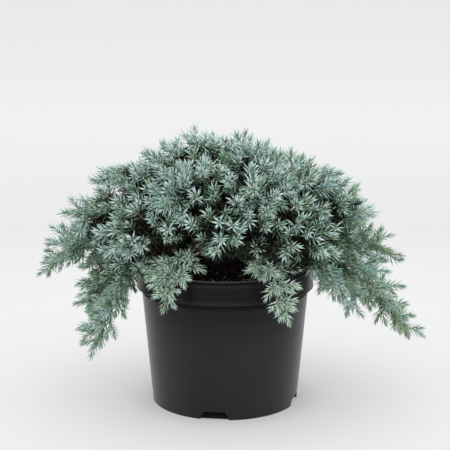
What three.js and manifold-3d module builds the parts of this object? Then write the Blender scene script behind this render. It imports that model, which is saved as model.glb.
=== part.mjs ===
// A blue star juniper (Juniperus squamata) growing in a round black nursery pot.
//
// A short woody stem rises from the potting mix and carries a low dome of foliage. One bough runs out
// to each mass of foliage: three masses crown the dome, a ring of six forms its shoulder, a ring of
// eight its side, and eleven thin sprays hang over the rim of the pot as a skirt.
//
// Millimetres, +Z up. The origin is the centre of the pot's flat underside. Azimuth 0 is the front,
// which is -Y, and azimuth 90 is the right, which is +X.

import * as THREE from "three";
import { mergeVertices } from "three/addons/utils/BufferGeometryUtils.js";
import Module from "manifold-3d";

const wasm = await Module();
wasm.setup();

// ---- Driving dimensions ----

const GAP = 0.3; // between pieces that touch

const POT = {
  height: 150,
  rimRadius: 95,
  rimBand: 24, // height of the band round the mouth
  neckRadius: 89.2, // outer radius of the wall just under the band
  footRadius: 78.5,
  footHeight: 12.5,
  footInset: 0.6, // the foot is this much narrower than the wall above it
  wall: 1.8,
  floor: 2,
  segments: 36,
};

const NOTCH = {
  height: 7,
  topWidth: 18,
  bottomWidth: 28,
  depth: 12, // how far it runs in under the floor
  azimuths: [-8, 75, 172, 255],
};

const SOIL = {
  level: 142, // top of the potting mix at the stem
  bottomRadius: 56, // its lower edge is rounded off by watering
  chamfer: 14,
  unevenness: 1.6,
  seatRadius: 20, // level patch that the stem stands on
  segments: 18,
};

const STEM = {
  baseRadius: 8,
  flareRadius: 13, // at the potting mix
  flareHeight: 12,
  tipRadius: 3,
  tipHeight: 240,
  lean: [6, -5], // how far the tip stands off the axis, in X and Y
  belly: [-7, 4], // how far the middle bows the other way
  sides: 8,
  steps: 7,
};

const BOUGH = {
  sides: 5,
  steps: 4,
  entry: 8, // how far a bough runs into its mass
  rooting: 3, // how far from the stem's axis it starts
  stagger: 10, // how far the boughs of a tier are spread along the stem
  tipShare: 0.5, // tip radius as a share of the base radius
};

const MASS_DETAIL = 2; // subdivisions of the icosahedron behind each mass
const LUMPS = 10; // bumps on each mass

// Where the masses lie. inner and tip are [distance from the axis, height] of a mass's two ends,
// width and thickness are half sizes, and arch is how far its middle stands above the line of its ends.
// Each tier's boughs leave the stem at boughHeight, with boughRadius at the stem, and bow up by lift.
const TIERS = [
  {
    name: "crown",
    boughHeight: 228,
    boughRadius: 2.4,
    lift: 6,
    taper: 0.3,
    masses: {
      left: { azimuth: 285, inner: [4, 260], tip: [90, 261], width: 44, thickness: 29, arch: 4 },
      right: { azimuth: 50, inner: [4, 258], tip: [76, 253], width: 42, thickness: 29, arch: 4 },
      back: { azimuth: 165, inner: [6, 252], tip: [88, 248], width: 46, thickness: 29, arch: 3 },
    },
  },
  {
    name: "shoulder",
    boughHeight: 202,
    boughRadius: 3,
    lift: 8,
    taper: 0.5,
    masses: {
      front_left: { azimuth: 330, inner: [26, 232], tip: [128, 222], width: 46, thickness: 30, arch: 6 },
      front_right: { azimuth: 28, inner: [26, 232], tip: [126, 224], width: 46, thickness: 30, arch: 6 },
      right: { azimuth: 86, inner: [26, 230], tip: [140, 238], width: 46, thickness: 29, arch: 4 },
      back_right: { azimuth: 146, inner: [26, 228], tip: [140, 222], width: 48, thickness: 30, arch: 6 },
      back_left: { azimuth: 206, inner: [26, 228], tip: [140, 222], width: 48, thickness: 30, arch: 6 },
      left: { azimuth: 268, inner: [26, 228], tip: [148, 240], width: 46, thickness: 26, arch: 2 },
    },
  },
  {
    name: "side",
    boughHeight: 180,
    boughRadius: 3.4,
    lift: 8,
    taper: 0.45,
    masses: {
      front: { azimuth: 358, inner: [54, 204], tip: [150, 200], width: 42, thickness: 24, arch: 4 },
      front_right: { azimuth: 41, inner: [56, 202], tip: [156, 186], width: 42, thickness: 26, arch: 8 },
      right: { azimuth: 84, inner: [62, 202], tip: [163, 211], width: 44, thickness: 27, arch: 4 },
      back_right: { azimuth: 130, inner: [60, 200], tip: [176, 190], width: 48, thickness: 27, arch: 8 },
      back: { azimuth: 176, inner: [58, 200], tip: [178, 190], width: 48, thickness: 27, arch: 8 },
      back_left: { azimuth: 222, inner: [60, 200], tip: [176, 188], width: 48, thickness: 27, arch: 8 },
      left: { azimuth: 268, inner: [62, 202], tip: [184, 192], width: 44, thickness: 29, arch: 8 },
      front_left: { azimuth: 315, inner: [58, 200], tip: [160, 182], width: 42, thickness: 26, arch: 8 },
    },
  },
  {
    name: "skirt",
    boughHeight: 160,
    boughRadius: 3,
    lift: 16,
    taper: 0.45,
    masses: {
      front_left: { azimuth: 330, inner: [70, 172], tip: [130, 131], width: 28, thickness: 14, arch: 10 },
      front_right: { azimuth: 29, inner: [70, 176], tip: [136, 111], width: 28, thickness: 14, arch: 14 },
      right_front: { azimuth: 58, inner: [84, 176], tip: [162, 109], width: 36, thickness: 15, arch: 15 },
      right_low: { azimuth: 82, inner: [92, 166], tip: [212, 69], width: 40, thickness: 23, arch: 12 },
      right: { azimuth: 100, inner: [98, 178], tip: [201, 149], width: 42, thickness: 25, arch: 4 },
      back_right: { azimuth: 140, inner: [88, 170], tip: [190, 96], width: 46, thickness: 22, arch: 18 },
      back: { azimuth: 182, inner: [88, 170], tip: [180, 112], width: 46, thickness: 20, arch: 16 },
      back_left: { azimuth: 222, inner: [88, 170], tip: [186, 88], width: 46, thickness: 22, arch: 18 },
      left: { azimuth: 262, inner: [94, 178], tip: [208, 138], width: 42, thickness: 29, arch: 8 },
      left_low: { azimuth: 281, inner: [88, 168], tip: [160, 92], width: 36, thickness: 22, arch: 12 },
      left_front: { azimuth: 299, inner: [86, 172], tip: [164, 63], width: 30, thickness: 16, arch: 18 },
    },
  },
];

// ---- Materials ----

const finish = (color, roughness) => new THREE.MeshStandardMaterial({ color, roughness, metalness: 0 });
const PLASTIC = finish(0x2e2d30, 0.55);
const PEAT = finish(0x2a1f17, 0.95);
const BARK = finish(0x6b4330, 0.85);
const NEEDLES = finish(0x7f9f98, 0.7);

// ---- Geometry helpers ----

const radians = THREE.MathUtils.degToRad;
const lerp = THREE.MathUtils.lerp;

// A point at this distance from the pot's axis, at this height.
function polar(azimuth, radius, z) {
  const angle = radians(azimuth);
  return new THREE.Vector3(radius * Math.sin(angle), -radius * Math.cos(angle), z);
}

// Repeatable random numbers from 0 to 1 (mulberry32).
function randomFrom(seed) {
  let state = seed;
  return () => {
    state = (state + 0x6d2b79f5) | 0;
    let t = Math.imul(state ^ (state >>> 15), 1 | state);
    t = (t + Math.imul(t ^ (t >>> 7), 61 | t)) ^ t;
    return ((t ^ (t >>> 14)) >>> 0) / 4294967296;
  };
}

// A geometry with only positions, its shared vertices merged.
function merged(geometry) {
  const bare = geometry.clone();
  bare.deleteAttribute("normal");
  bare.deleteAttribute("uv");
  return mergeVertices(bare, 1e-3);
}

function solidOf(geometry) {
  const closed = merged(geometry);
  const vertProperties = new Float32Array(closed.attributes.position.array);
  const triVerts = new Uint32Array(closed.index.array);
  return new wasm.Manifold(new wasm.Mesh({ numProp: 3, vertProperties, triVerts }));
}

function geometryOf(solid) {
  const mesh = solid.getMesh();
  const geometry = new THREE.BufferGeometry();
  geometry.setAttribute("position", new THREE.BufferAttribute(mesh.vertProperties, 3));
  geometry.setIndex(new THREE.BufferAttribute(mesh.triVerts, 1));
  geometry.computeVertexNormals();
  return geometry;
}

// The largest body of a solid that a cut may have left in several.
function largest(solid) {
  const bodies = solid.decompose();
  return bodies.reduce((a, b) => (b.volume() > a.volume() ? b : a));
}

// A solid less each of the others, kept in one body.
function without(solid, others) {
  return largest(others.reduce((left, other) => left.subtract(other), solid));
}

// A lathe round +Z from [radius, height] pairs that run from the axis at the bottom, out, and back.
function turned(profile, segments) {
  const points = profile.map(([r, z]) => new THREE.Vector2(r, z));
  return new THREE.LatheGeometry(points, segments).rotateX(Math.PI / 2);
}

// A round limb along a curve: a cylinder bent on to it. radiusAt gives its radius from the share of the
// way along it, and grow adds clearance all round and past both ends.
function limb(curve, radiusAt, sides, steps, grow = 0) {
  const geometry = merged(new THREE.CylinderGeometry(1, 1, 1, sides, steps));
  const frames = curve.computeFrenetFrames(steps);
  const position = geometry.attributes.position;
  const place = new THREE.Vector3();
  for (let i = 0; i < position.count; i++) {
    const step = Math.round((position.getY(i) + 0.5) * steps);
    const radius = radiusAt(step / steps) + grow;
    place.copy(curve.getPointAt(step / steps));
    place.addScaledVector(frames.normals[step], position.getX(i) * radius);
    place.addScaledVector(frames.binormals[step], -position.getZ(i) * radius);
    if (step === 0) place.addScaledVector(frames.tangents[step], -grow);
    if (step === steps) place.addScaledVector(frames.tangents[step], grow);
    position.setXYZ(i, place.x, place.y, place.z);
  }
  return geometry;
}

// ---- Pot ----

function potProfile() {
  const { height, rimRadius, rimBand, neckRadius, footRadius, footHeight, footInset, wall, floor } = POT;
  const bandFoot = height - rimBand;
  return [
    [0, 0],
    [footRadius - footInset, 0],
    [footRadius, footHeight - footInset],
    [footRadius + footInset, footHeight],
    [neckRadius, bandFoot],
    [rimRadius - 0.8, bandFoot],
    [rimRadius, height - 1],
    [rimRadius - 0.6, height],
    [rimRadius - wall, height],
    [rimRadius - wall - 0.6, bandFoot + wall],
    [neckRadius - wall, bandFoot + wall],
    [footRadius - wall - 1, floor],
    [0, floor],
  ];
}

// The outside of the pot, filled and a little larger: the room that foliage has to leave it.
function potRoom() {
  const { height, rimRadius, rimBand, neckRadius, footRadius, segments } = POT;
  const bandFoot = height - rimBand;
  const profile = [
    [0, -GAP],
    [footRadius + GAP, -GAP],
    [neckRadius + GAP, bandFoot - GAP],
    [rimRadius + GAP, bandFoot - GAP],
    [rimRadius + 2 * GAP, height + GAP],
    [0, height + GAP],
  ];
  return solidOf(turned(profile, segments));
}

// The wedge that is cut for a drain notch, centred on the front of the foot.
function notchTool() {
  const outside = POT.footRadius + 6; // well past the wall
  const outline = new THREE.Shape([
    new THREE.Vector2(-NOTCH.bottomWidth / 2, -1),
    new THREE.Vector2(NOTCH.bottomWidth / 2, -1),
    new THREE.Vector2(NOTCH.topWidth / 2, NOTCH.height),
    new THREE.Vector2(-NOTCH.topWidth / 2, NOTCH.height),
  ]);
  const depth = NOTCH.depth + outside - POT.footRadius;
  const prism = new THREE.ExtrudeGeometry(outline, { depth, bevelEnabled: false });
  return prism.rotateX(Math.PI / 2).translate(0, -outside + depth, 0);
}

function makePot() {
  const notches = NOTCH.azimuths.map((azimuth) => solidOf(notchTool().rotateZ(radians(azimuth))));
  return without(solidOf(turned(potProfile(), POT.segments)), notches);
}

// ---- Potting mix ----

function makeSoil() {
  const { neckRadius, rimBand, footRadius, footHeight, height, wall, floor, rimRadius } = POT;
  const bandFoot = height - rimBand;
  const clear = 2 * GAP; // also covers the flats of the pot's facets
  const edge = rimRadius - wall - 0.6 - clear;
  const profile = [
    [0, floor + GAP],
    [SOIL.bottomRadius, floor + GAP],
    [footRadius - wall - clear, footHeight + SOIL.chamfer],
    [neckRadius - wall - clear, bandFoot + wall + GAP],
    [edge, bandFoot + wall + GAP],
    [edge, SOIL.level],
    [edge * 0.7, SOIL.level],
    [SOIL.seatRadius, SOIL.level],
    [0, SOIL.level],
  ];
  const geometry = merged(turned(profile, SOIL.segments));
  const random = randomFrom(7);
  const position = geometry.attributes.position;
  for (let i = 0; i < position.count; i++) {
    const radius = Math.hypot(position.getX(i), position.getY(i));
    const onTop = position.getZ(i) > SOIL.level - 0.01;
    const loose = onTop && radius > SOIL.seatRadius + 1;
    if (loose) position.setZ(i, SOIL.level + SOIL.unevenness * (2 * random() - 1));
  }
  return solidOf(geometry);
}

// ---- Stem ----

const stemFoot = SOIL.level + GAP;
const stemLine = new THREE.CatmullRomCurve3([
  new THREE.Vector3(0, 0, stemFoot),
  new THREE.Vector3(STEM.belly[0] * 0.4, STEM.belly[1] * 0.4, lerp(stemFoot, STEM.tipHeight, 0.25)),
  new THREE.Vector3(STEM.belly[0], STEM.belly[1], lerp(stemFoot, STEM.tipHeight, 0.6)),
  new THREE.Vector3(STEM.lean[0], STEM.lean[1], STEM.tipHeight),
]);

function stemRadius(share) {
  const above = share * (STEM.tipHeight - stemFoot);
  const flare = Math.exp(-above / (STEM.flareHeight / 2));
  return lerp(STEM.baseRadius, STEM.tipRadius, share) + (STEM.flareRadius - STEM.baseRadius) * flare;
}

// The stem, with its foot cut flat at the potting mix.
function makeStem(grow = 0) {
  const geometry = limb(stemLine, stemRadius, STEM.sides, STEM.steps, grow);
  const position = geometry.attributes.position;
  for (let i = 0; i < position.count; i++) {
    if (position.getZ(i) < stemFoot + 2) position.setZ(i, stemFoot - grow);
  }
  return solidOf(geometry);
}

// The point of the stem's axis at this height.
function stemAt(z) {
  const points = stemLine.getSpacedPoints(200);
  return points.reduce((a, b) => (Math.abs(b.z - z) < Math.abs(a.z - z) ? b : a));
}

// ---- Foliage ----

// A mass as placed: its two ends, its middle and its own three directions.
function placed(tier, place, seed) {
  const inner = polar(place.azimuth, ...place.inner);
  const tip = polar(place.azimuth, ...place.tip);
  const along = tip.clone().sub(inner);
  const length = along.length();
  along.normalize();
  const across = polar(place.azimuth + 90, 1, 0);
  const out = new THREE.Vector3().crossVectors(along, across).negate();
  if (out.z < 0) out.negate();
  const middle = inner.clone().add(tip).multiplyScalar(0.5);
  return { ...place, tier, seed, inner, tip, along, across, out, middle, half: length / 2 };
}

// How far a mass reaches from its middle in a direction, as the ellipsoid that it is made from.
function reach(mass, direction) {
  return Math.hypot(
    mass.half * mass.along.dot(direction),
    mass.width * mass.across.dot(direction),
    mass.thickness * mass.out.dot(direction),
  );
}

// The planes that part a mass from its neighbours. Each stands between two middles, in proportion to
// how far the two reach towards each other, less half a gap.
function partings(mass, all) {
  return all
    .filter((other) => other !== mass)
    .map((other) => {
      const normal = other.middle.clone().sub(mass.middle);
      const distance = normal.length();
      normal.divideScalar(distance);
      const share = reach(mass, normal) / (reach(mass, normal) + reach(other, normal));
      return { normal, limit: distance * share - GAP / 2 };
    });
}

// Round bumps on a sphere of directions, as shoots bunch together in a mass.
function lumpsOf(random) {
  return Array.from({ length: LUMPS }, () => {
    const z = 2 * random() - 1;
    const turn = 2 * Math.PI * random();
    const flat = Math.sqrt(1 - z * z);
    const direction = new THREE.Vector3(flat * Math.cos(turn), flat * Math.sin(turn), z);
    return { direction, height: 0.08 + 0.12 * random() };
  });
}

function lumpiness(lumps, direction) {
  const bumps = lumps.map((lump) => lump.height * Math.exp(7 * (lump.direction.dot(direction) - 1)));
  return 0.92 + bumps.reduce((a, b) => a + b);
}

// One mass: an icosphere drawn out into a tapering, arching, lumpy pad inside its partings.
function makeMass(mass, all) {
  const geometry = merged(new THREE.IcosahedronGeometry(1, MASS_DETAIL));
  const lumps = lumpsOf(randomFrom(mass.seed));
  const planes = partings(mass, all);
  const position = geometry.attributes.position;
  const direction = new THREE.Vector3();
  for (let i = 0; i < position.count; i++) {
    direction.fromBufferAttribute(position, i).normalize();
    const lump = lumpiness(lumps, direction);
    const share = (direction.x + 1) / 2; // 0 at the inner end and 1 at the tip
    const slender = 1 + mass.tier.taper * (0.5 - share);
    const end = Math.abs(direction.x) > 0.98 ? 1 : lump; // the two ends stay where they are stated
    const offset = new THREE.Vector3()
      .addScaledVector(mass.along, direction.x * mass.half * Math.min(end, 1))
      .addScaledVector(mass.across, direction.y * mass.width * lump * slender)
      .addScaledVector(mass.out, direction.z * mass.thickness * lump * slender);
    offset.z += mass.arch * (1 - direction.x ** 2);
    const crossing = Math.max(1, ...planes.map(({ normal, limit }) => offset.dot(normal) / limit));
    offset.divideScalar(crossing).add(mass.middle);
    position.setXYZ(i, offset.x, offset.y, offset.z);
  }
  return geometry;
}

// ---- Boughs ----

// The line of a bough, from just under the stem's bark, up over its bow, and a little way into its mass.
function boughLine(mass, geometry) {
  const { boughHeight, lift } = mass.tier;
  const foot = stemAt(boughHeight + BOUGH.stagger * (randomFrom(mass.seed + 500)() - 0.5));
  foot.add(polar(mass.azimuth, BOUGH.rooting, 0));
  const bow = foot.clone().lerp(mass.inner, 0.6);
  bow.z = Math.max(bow.z, lerp(foot.z, mass.inner.z, 0.75)) + lift;
  const heart = mass.inner.clone().lerp(mass.tip, 0.25);
  heart.z += mass.arch * 0.75;
  const towards = heart.sub(bow).normalize();
  const ray = new THREE.Raycaster(bow, towards);
  const mesh = new THREE.Mesh(geometry, new THREE.MeshBasicMaterial({ side: THREE.DoubleSide }));
  const [hit] = ray.intersectObject(mesh);
  const end = hit.point.clone().addScaledVector(towards, BOUGH.entry);
  return new THREE.QuadraticBezierCurve3(foot, bow, end);
}

function makeBough(mass, line, grow = 0) {
  const radiusAt = (share) => mass.tier.boughRadius * lerp(1, BOUGH.tipShare, share);
  return solidOf(limb(line, radiusAt, BOUGH.sides, BOUGH.steps, grow));
}

// ---- Assembly ----

const plant = new THREE.Group();
plant.name = "blue_star_juniper";

function add(name, solid, material) {
  const mesh = new THREE.Mesh(geometryOf(solid), material);
  mesh.name = name;
  plant.add(mesh);
}

const masses = TIERS.flatMap((tier, t) =>
  Object.entries(tier.masses).map(([side, place], m) => {
    const name = `${tier.name}_${side}`;
    return { name, ...placed(tier, place, 100 * (t + 1) + m) };
  }),
);

for (const mass of masses) {
  mass.geometry = makeMass(mass, masses);
  mass.line = boughLine(mass, mass.geometry);
  mass.boughRoom = makeBough(mass, mass.line, GAP);
}

const stemRoom = makeStem(GAP);
const rooms = masses.map((mass) => mass.boughRoom);

add("pot", makePot(), PLASTIC);
add("potting_mix", makeSoil(), PEAT);
add("stem", makeStem(), BARK);
masses.forEach((mass, i) => {
  add(`bough_${mass.name}`, without(makeBough(mass, mass.line), [stemRoom, ...rooms.slice(0, i)]), BARK);
  add(`foliage_${mass.name}`, without(solidOf(mass.geometry), [potRoom(), stemRoom, ...rooms]), NEEDLES);
});

export default plant;
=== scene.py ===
# %% [markdown]
# # A blue star juniper in its nursery pot
#
# A low garden conifer as it is sold: a dome of blue-green needles on a short stem, in a round black
# pot. The model that comes in first is plain solids of the right size. They stay as the frame, and
# every visible piece below is made around them: the pot, the potting mix, the woody limbs, the twigs
# and the needles.

# %% Load the frame
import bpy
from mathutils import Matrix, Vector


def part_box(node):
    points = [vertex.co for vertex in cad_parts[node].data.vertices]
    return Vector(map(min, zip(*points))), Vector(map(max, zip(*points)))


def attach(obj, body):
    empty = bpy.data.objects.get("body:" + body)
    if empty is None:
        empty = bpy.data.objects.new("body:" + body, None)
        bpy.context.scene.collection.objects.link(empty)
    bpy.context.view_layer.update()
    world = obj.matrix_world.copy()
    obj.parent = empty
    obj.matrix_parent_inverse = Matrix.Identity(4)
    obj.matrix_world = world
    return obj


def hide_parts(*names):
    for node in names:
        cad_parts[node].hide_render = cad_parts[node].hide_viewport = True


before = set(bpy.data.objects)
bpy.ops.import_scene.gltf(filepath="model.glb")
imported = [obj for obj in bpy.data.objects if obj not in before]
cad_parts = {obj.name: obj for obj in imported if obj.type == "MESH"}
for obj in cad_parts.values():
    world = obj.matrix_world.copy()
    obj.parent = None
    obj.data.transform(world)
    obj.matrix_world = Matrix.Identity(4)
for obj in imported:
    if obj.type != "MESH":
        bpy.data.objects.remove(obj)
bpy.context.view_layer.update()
print("nodes:", len(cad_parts))

# %% Libraries and units
import math

import bmesh
import bpy
import numpy as np
from mathutils import Matrix, Vector, noise
from mathutils.bvhtree import BVHTree
from mathutils.kdtree import KDTree

MM = 0.001
scene = bpy.context.scene
random = np.random.default_rng(41)

# %% [markdown]
# ## Putting a piece in the scene
#
# A piece is a mesh whose object sits at the origin, with its place in its vertices. It rides on the
# plant's one rigid body, stands for the solids that it replaces, and names the finish it takes.

# %% Piece helper
def add_piece(name, mesh, replaced, materials):
    piece = bpy.data.objects.new(name, mesh)
    scene.collection.objects.link(piece)
    for material in materials:
        mesh.materials.append(material)
    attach(piece, "root")
    if replaced:
        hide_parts(*replaced)
    print(f"{name}: {len(mesh.polygons)} faces")
    return piece


def mesh_of(name, bm):
    mesh = bpy.data.meshes.new(name)
    bm.to_mesh(mesh)
    bm.free()
    return mesh


# %% [markdown]
# ## Round things
#
# The stage, the pot and the mix in it are round. Each is a section, a row of points with a radius and
# a height, spun about the upright axis.

# %% Spun sections
def spin_section(section, steps):
    bm = bmesh.new()
    corners = [bm.verts.new((radius, 0, height)) for radius, height in section]
    edges = [bm.edges.new(pair) for pair in zip(corners, corners[1:])]
    bmesh.ops.spin(bm, geom=corners + edges, cent=(0, 0, 0), axis=(0, 0, 1), angle=math.tau,
                   steps=steps, use_merge=True)
    bmesh.ops.remove_doubles(bm, verts=bm.verts[:], dist=1e-6)
    bmesh.ops.recalc_face_normals(bm, faces=bm.faces[:])
    return bm


# %% [markdown]
# ## Finishes and nodes
#
# Every finish starts from the Principled shader. A value that is the same all over is set on the
# shader's socket itself, and only what changes over the surface comes in through nodes. A node has
# inputs with names, so one helper can add any of them, with plain values set and sockets linked.

# %% Finishes and nodes
def finish(name, color, roughness, **sockets):
    material = bpy.data.materials.new(name)
    material.use_nodes = True
    shader = material.node_tree.nodes["Principled BSDF"]
    shader.inputs["Base Color"].default_value = (*color, 1)
    shader.inputs["Roughness"].default_value = roughness
    for socket, value in sockets.items():
        shader.inputs[socket.replace("_", " ")].default_value = value
    return material, shader


def add_node(tree, kind, output, operation=None, **inputs):
    """Adds a node, sets or links its inputs, and returns one of its outputs."""
    node = tree.nodes.new("ShaderNode" + kind)
    if operation:
        node.operation = operation
    for name, value in inputs.items():
        socket = node.inputs[name.replace("_", " ")]
        if isinstance(value, bpy.types.NodeSocket):
            tree.links.new(value, socket)
        else:
            socket.default_value = value
    return node.outputs[output]


def add_noise(material, scale, detail=4.0, stretch=(1, 1, 1), roughness=0.55):
    """A noise pattern on the piece's own coordinates, stretched along an axis."""
    tree = material.node_tree
    place = add_node(tree, "TexCoord", "Object")
    stretched = add_node(tree, "Mapping", "Vector", Vector=place, Scale=stretch)
    return add_node(tree, "TexNoise", "Fac", Vector=stretched, Scale=scale, Detail=detail,
                    Roughness=roughness)


def add_ramp(material, source, stops):
    """A colour ramp through stops of (position, colour)."""
    color = add_node(material.node_tree, "ValToRGB", "Color", Fac=source)
    elements = color.node.color_ramp.elements
    while len(elements) < len(stops):
        elements.new(0.5)
    for element, (position, stop_color) in zip(elements, stops):
        element.position = position
        element.color = (*stop_color, 1)
    return color


def feed(shader, socket, source):
    """Links a node's output to one of the shader's sockets."""
    shader.id_data.links.new(source, shader.inputs[socket])


def add_bump(shader, source, distance):
    feed(shader, "Normal", add_node(shader.id_data, "Bump", "Normal", Height=source, Distance=distance,
                                    Strength=1))


def grey(value):
    return (value, value, value)


# %% [markdown]
# ## The camera
#
# The plant is seen from the front, a little from above, with a long lens, so the pot's sides stay
# nearly straight and its rim shows as a flat ellipse. Distance, height, tilt and lens are the four
# values that fix such a view.

# %% Camera
CAMERA_DISTANCE = 1.3479
CAMERA_HEIGHT = 0.4688
CAMERA_TILT = math.radians(11.69)
CAMERA_LENS = 103.73
SENSOR_WIDTH = 36

camera_data = bpy.data.cameras.new("camera")
camera_data.lens = CAMERA_LENS
camera_data.sensor_width = SENSOR_WIDTH
camera = bpy.data.objects.new("camera", camera_data)
camera.location = (0, -CAMERA_DISTANCE, CAMERA_HEIGHT)
camera.rotation_euler = (math.pi / 2 - CAMERA_TILT, 0, 0)
scene.collection.objects.link(camera)
scene.camera = camera
scene.view_settings.view_transform = "Standard"
print("camera:", round(CAMERA_DISTANCE, 2), "m away,", round(CAMERA_LENS), "mm lens")

# %% [markdown]
# ## The stage
#
# A studio sweep: a pale floor that curves up into a wall with no line between them. Spinning
# its profile all the way round makes a shallow bowl, so the plant can be looked at from any side.
# The paper's glow is painted light that stands for the many large lamps of a studio, which even out
# the floor. It glows less near the pot, a painted shadow: the soft dark place at the foot of the pot.

# %% Stage
STAGE_FLAT = 3.2
STAGE_CURVE = 1.2
STAGE_WALL = 1.6
CURVE_POINTS = 13
STAGE_STEPS = 96

rise = [
    (STAGE_FLAT + STAGE_CURVE * math.sin(angle), STAGE_CURVE * (1 - math.cos(angle)))
    for angle in np.linspace(0, math.pi / 2, CURVE_POINTS)
]
bm = spin_section([(0, 0), *rise, (STAGE_FLAT + STAGE_CURVE, STAGE_WALL)], STAGE_STEPS)
for face in bm.faces:
    face.smooth = True
    if face.normal.z < 0:
        face.normal_flip()
sweep = bpy.data.objects.new("sweep", mesh_of("sweep", bm))
scene.collection.objects.link(sweep)
print("sweep:", len(sweep.data.polygons), "faces")

# %% Paper
PAPER_REACH = 3.3
# painted light on the paper, and its low glow near the pot a painted shadow
PAPER_GLOW_AND_PAINTED_SHADOW = [  # distance from the pot's axis in metres, and glow
    (0.079, 0.29), (0.100, 0.375), (0.120, 0.40), (0.175, 0.43), (0.245, 0.45), (0.45, 0.43),
    (0.95, 0.35), (PAPER_REACH, 0.41),
]

paper, paper_shader = finish("sweep_paper", grey(0.28), 0.9, Emission_Strength=1)
paper_place = add_node(paper.node_tree, "TexCoord", "Object")
paper_distance = add_node(paper.node_tree, "VectorMath", "Value", "LENGTH", Vector=paper_place)
paper_span = add_node(paper.node_tree, "MapRange", "Result", Value=paper_distance, From_Max=PAPER_REACH)
glow_and_painted_shadow = add_ramp(paper, paper_span, [(distance / PAPER_REACH, grey(value)) for distance, value in PAPER_GLOW_AND_PAINTED_SHADOW])
feed(paper_shader, "Emission Color", glow_and_painted_shadow)
sweep.data.materials.append(paper)

# %% [markdown]
# ## The light
#
# Two things light the plant. A sun lamp with a disc as wide as a softbox stands overhead, a little in
# front, and gives the needles their pale tops. The sky is dim in front and behind and bright at the
# two sides, as with a tall light on each side, and that gives the round pot its pale edges.

# %% Lights
SUN_STRENGTH = 4.0
SUN_TILT = math.radians(9)
SUN_WIDTH = math.radians(130)
SKY_FRONT = 0.13
SKY_SIDES = 0.85
SKY_COLOR = (0.985, 0.99, 1, 1)

softbox_light = bpy.data.lights.new("overhead_softbox", "SUN")
softbox_light.energy = SUN_STRENGTH
softbox_light.angle = SUN_WIDTH
softbox = bpy.data.objects.new("overhead_softbox", softbox_light)
softbox.rotation_euler = (SUN_TILT, 0, 0)
scene.collection.objects.link(softbox)

world = bpy.data.worlds.new("studio")
world.use_nodes = True
sky = world.node_tree.nodes["Background"]
sky.inputs["Color"].default_value = SKY_COLOR
sky_place = add_node(world.node_tree, "TexCoord", "Generated")
sideways = add_node(world.node_tree, "SeparateXYZ", "X", Vector=sky_place)
# its square is 1 at both sides and 0 in front and behind
side_share = add_node(world.node_tree, "Math", "Value", "MULTIPLY", Value=sideways)
world.node_tree.links.new(sideways, side_share.node.inputs[1])
sky_strength = add_node(world.node_tree, "MapRange", "Result", Value=side_share, To_Min=SKY_FRONT,
                        To_Max=SKY_SIDES)
feed(sky, "Strength", sky_strength)
scene.world = world
print("lights:", softbox.name, "and the sky")

# %% [markdown]
# ## The pot
#
# An injection-moulded nursery pot: a thin wall that tapers to a flat base, a wider band round the
# mouth, a small step above the foot, and drain notches cut through the foot. It is round, so its
# section is spun about the axis. The notches are cut with wedges, and a bevel rounds every edge, as
# the mould does.

# %% Pot
pot_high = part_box("pot")[1]
RIM_RADIUS = pot_high.x
POT_HEIGHT = pot_high.z
BAND_HEIGHT = 24 * MM
NECK_RADIUS = 89.2 * MM
FOOT_RADIUS = 78.5 * MM
FOOT_HEIGHT = 12.5 * MM
FOOT_INSET = 0.6 * MM
WALL = 1.8 * MM
FLOOR = 2 * MM
LIP_RISE = 1.6 * MM
POT_STEPS = 192

band_foot = POT_HEIGHT - BAND_HEIGHT
pot_section = [  # radius and height: outside from the middle of the base up, and down again inside
    (0, 0),
    (FOOT_RADIUS - FOOT_INSET, 0),
    (FOOT_RADIUS, FOOT_HEIGHT - FOOT_INSET),
    (FOOT_RADIUS + FOOT_INSET, FOOT_HEIGHT),
    (NECK_RADIUS - 0.58 * MM, band_foot - 6.5 * MM),  # the wall turns upright under the band
    (NECK_RADIUS - 0.33 * MM, band_foot - 3.7 * MM),
    (NECK_RADIUS, band_foot),
    (RIM_RADIUS - 0.4 * MM, band_foot),  # the band's lower edge stands out a little
    (RIM_RADIUS - 0.4 * MM, band_foot + 1.2 * MM),
    (RIM_RADIUS - 0.9 * MM, band_foot + 2.2 * MM),
    (RIM_RADIUS - 0.8 * MM, POT_HEIGHT - 2.6 * MM),
    (RIM_RADIUS - 0.9 * MM, POT_HEIGHT - 1 * MM),
    (RIM_RADIUS - 0.9 * MM, POT_HEIGHT),
    (RIM_RADIUS, POT_HEIGHT + 0.2 * MM),  # and so does the lip
    (RIM_RADIUS, POT_HEIGHT + LIP_RISE),
    (RIM_RADIUS - WALL, POT_HEIGHT + LIP_RISE),
    (RIM_RADIUS - WALL - 0.6 * MM, band_foot + WALL),
    (NECK_RADIUS - WALL, band_foot + WALL),
    (FOOT_RADIUS - WALL - 1 * MM, FLOOR),
    (0, FLOOR),
]

# %% Notches
NOTCH_AZIMUTHS = (-8, 75, 172, 255)  # degrees from the front towards the right
NOTCH_HEIGHT = 8.6 * MM
NOTCH_TOP = 21 * MM
NOTCH_BOTTOM = 31 * MM
NOTCH_CUTS = [(5 * MM, -1 * MM), (12 * MM, 0.8 * MM)]  # depth and lowest height: wall, then inside


def make_notch_wedges(depth, bottom):
    bm = bmesh.new()
    for azimuth in NOTCH_AZIMUTHS:
        made = bmesh.ops.create_cube(bm, size=1)["verts"]
        for corner in made:
            width = NOTCH_TOP if corner.co.z > 0 else NOTCH_BOTTOM
            corner.co.x *= width
            corner.co.y = corner.co.y * 2 * depth - FOOT_RADIUS
            corner.co.z = NOTCH_HEIGHT if corner.co.z > 0 else bottom
        turn = Matrix.Rotation(math.radians(azimuth), 3, "Z")
        bmesh.ops.rotate(bm, verts=made, cent=(0, 0, 0), matrix=turn)
    return mesh_of("notch_wedges", bm)


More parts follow.
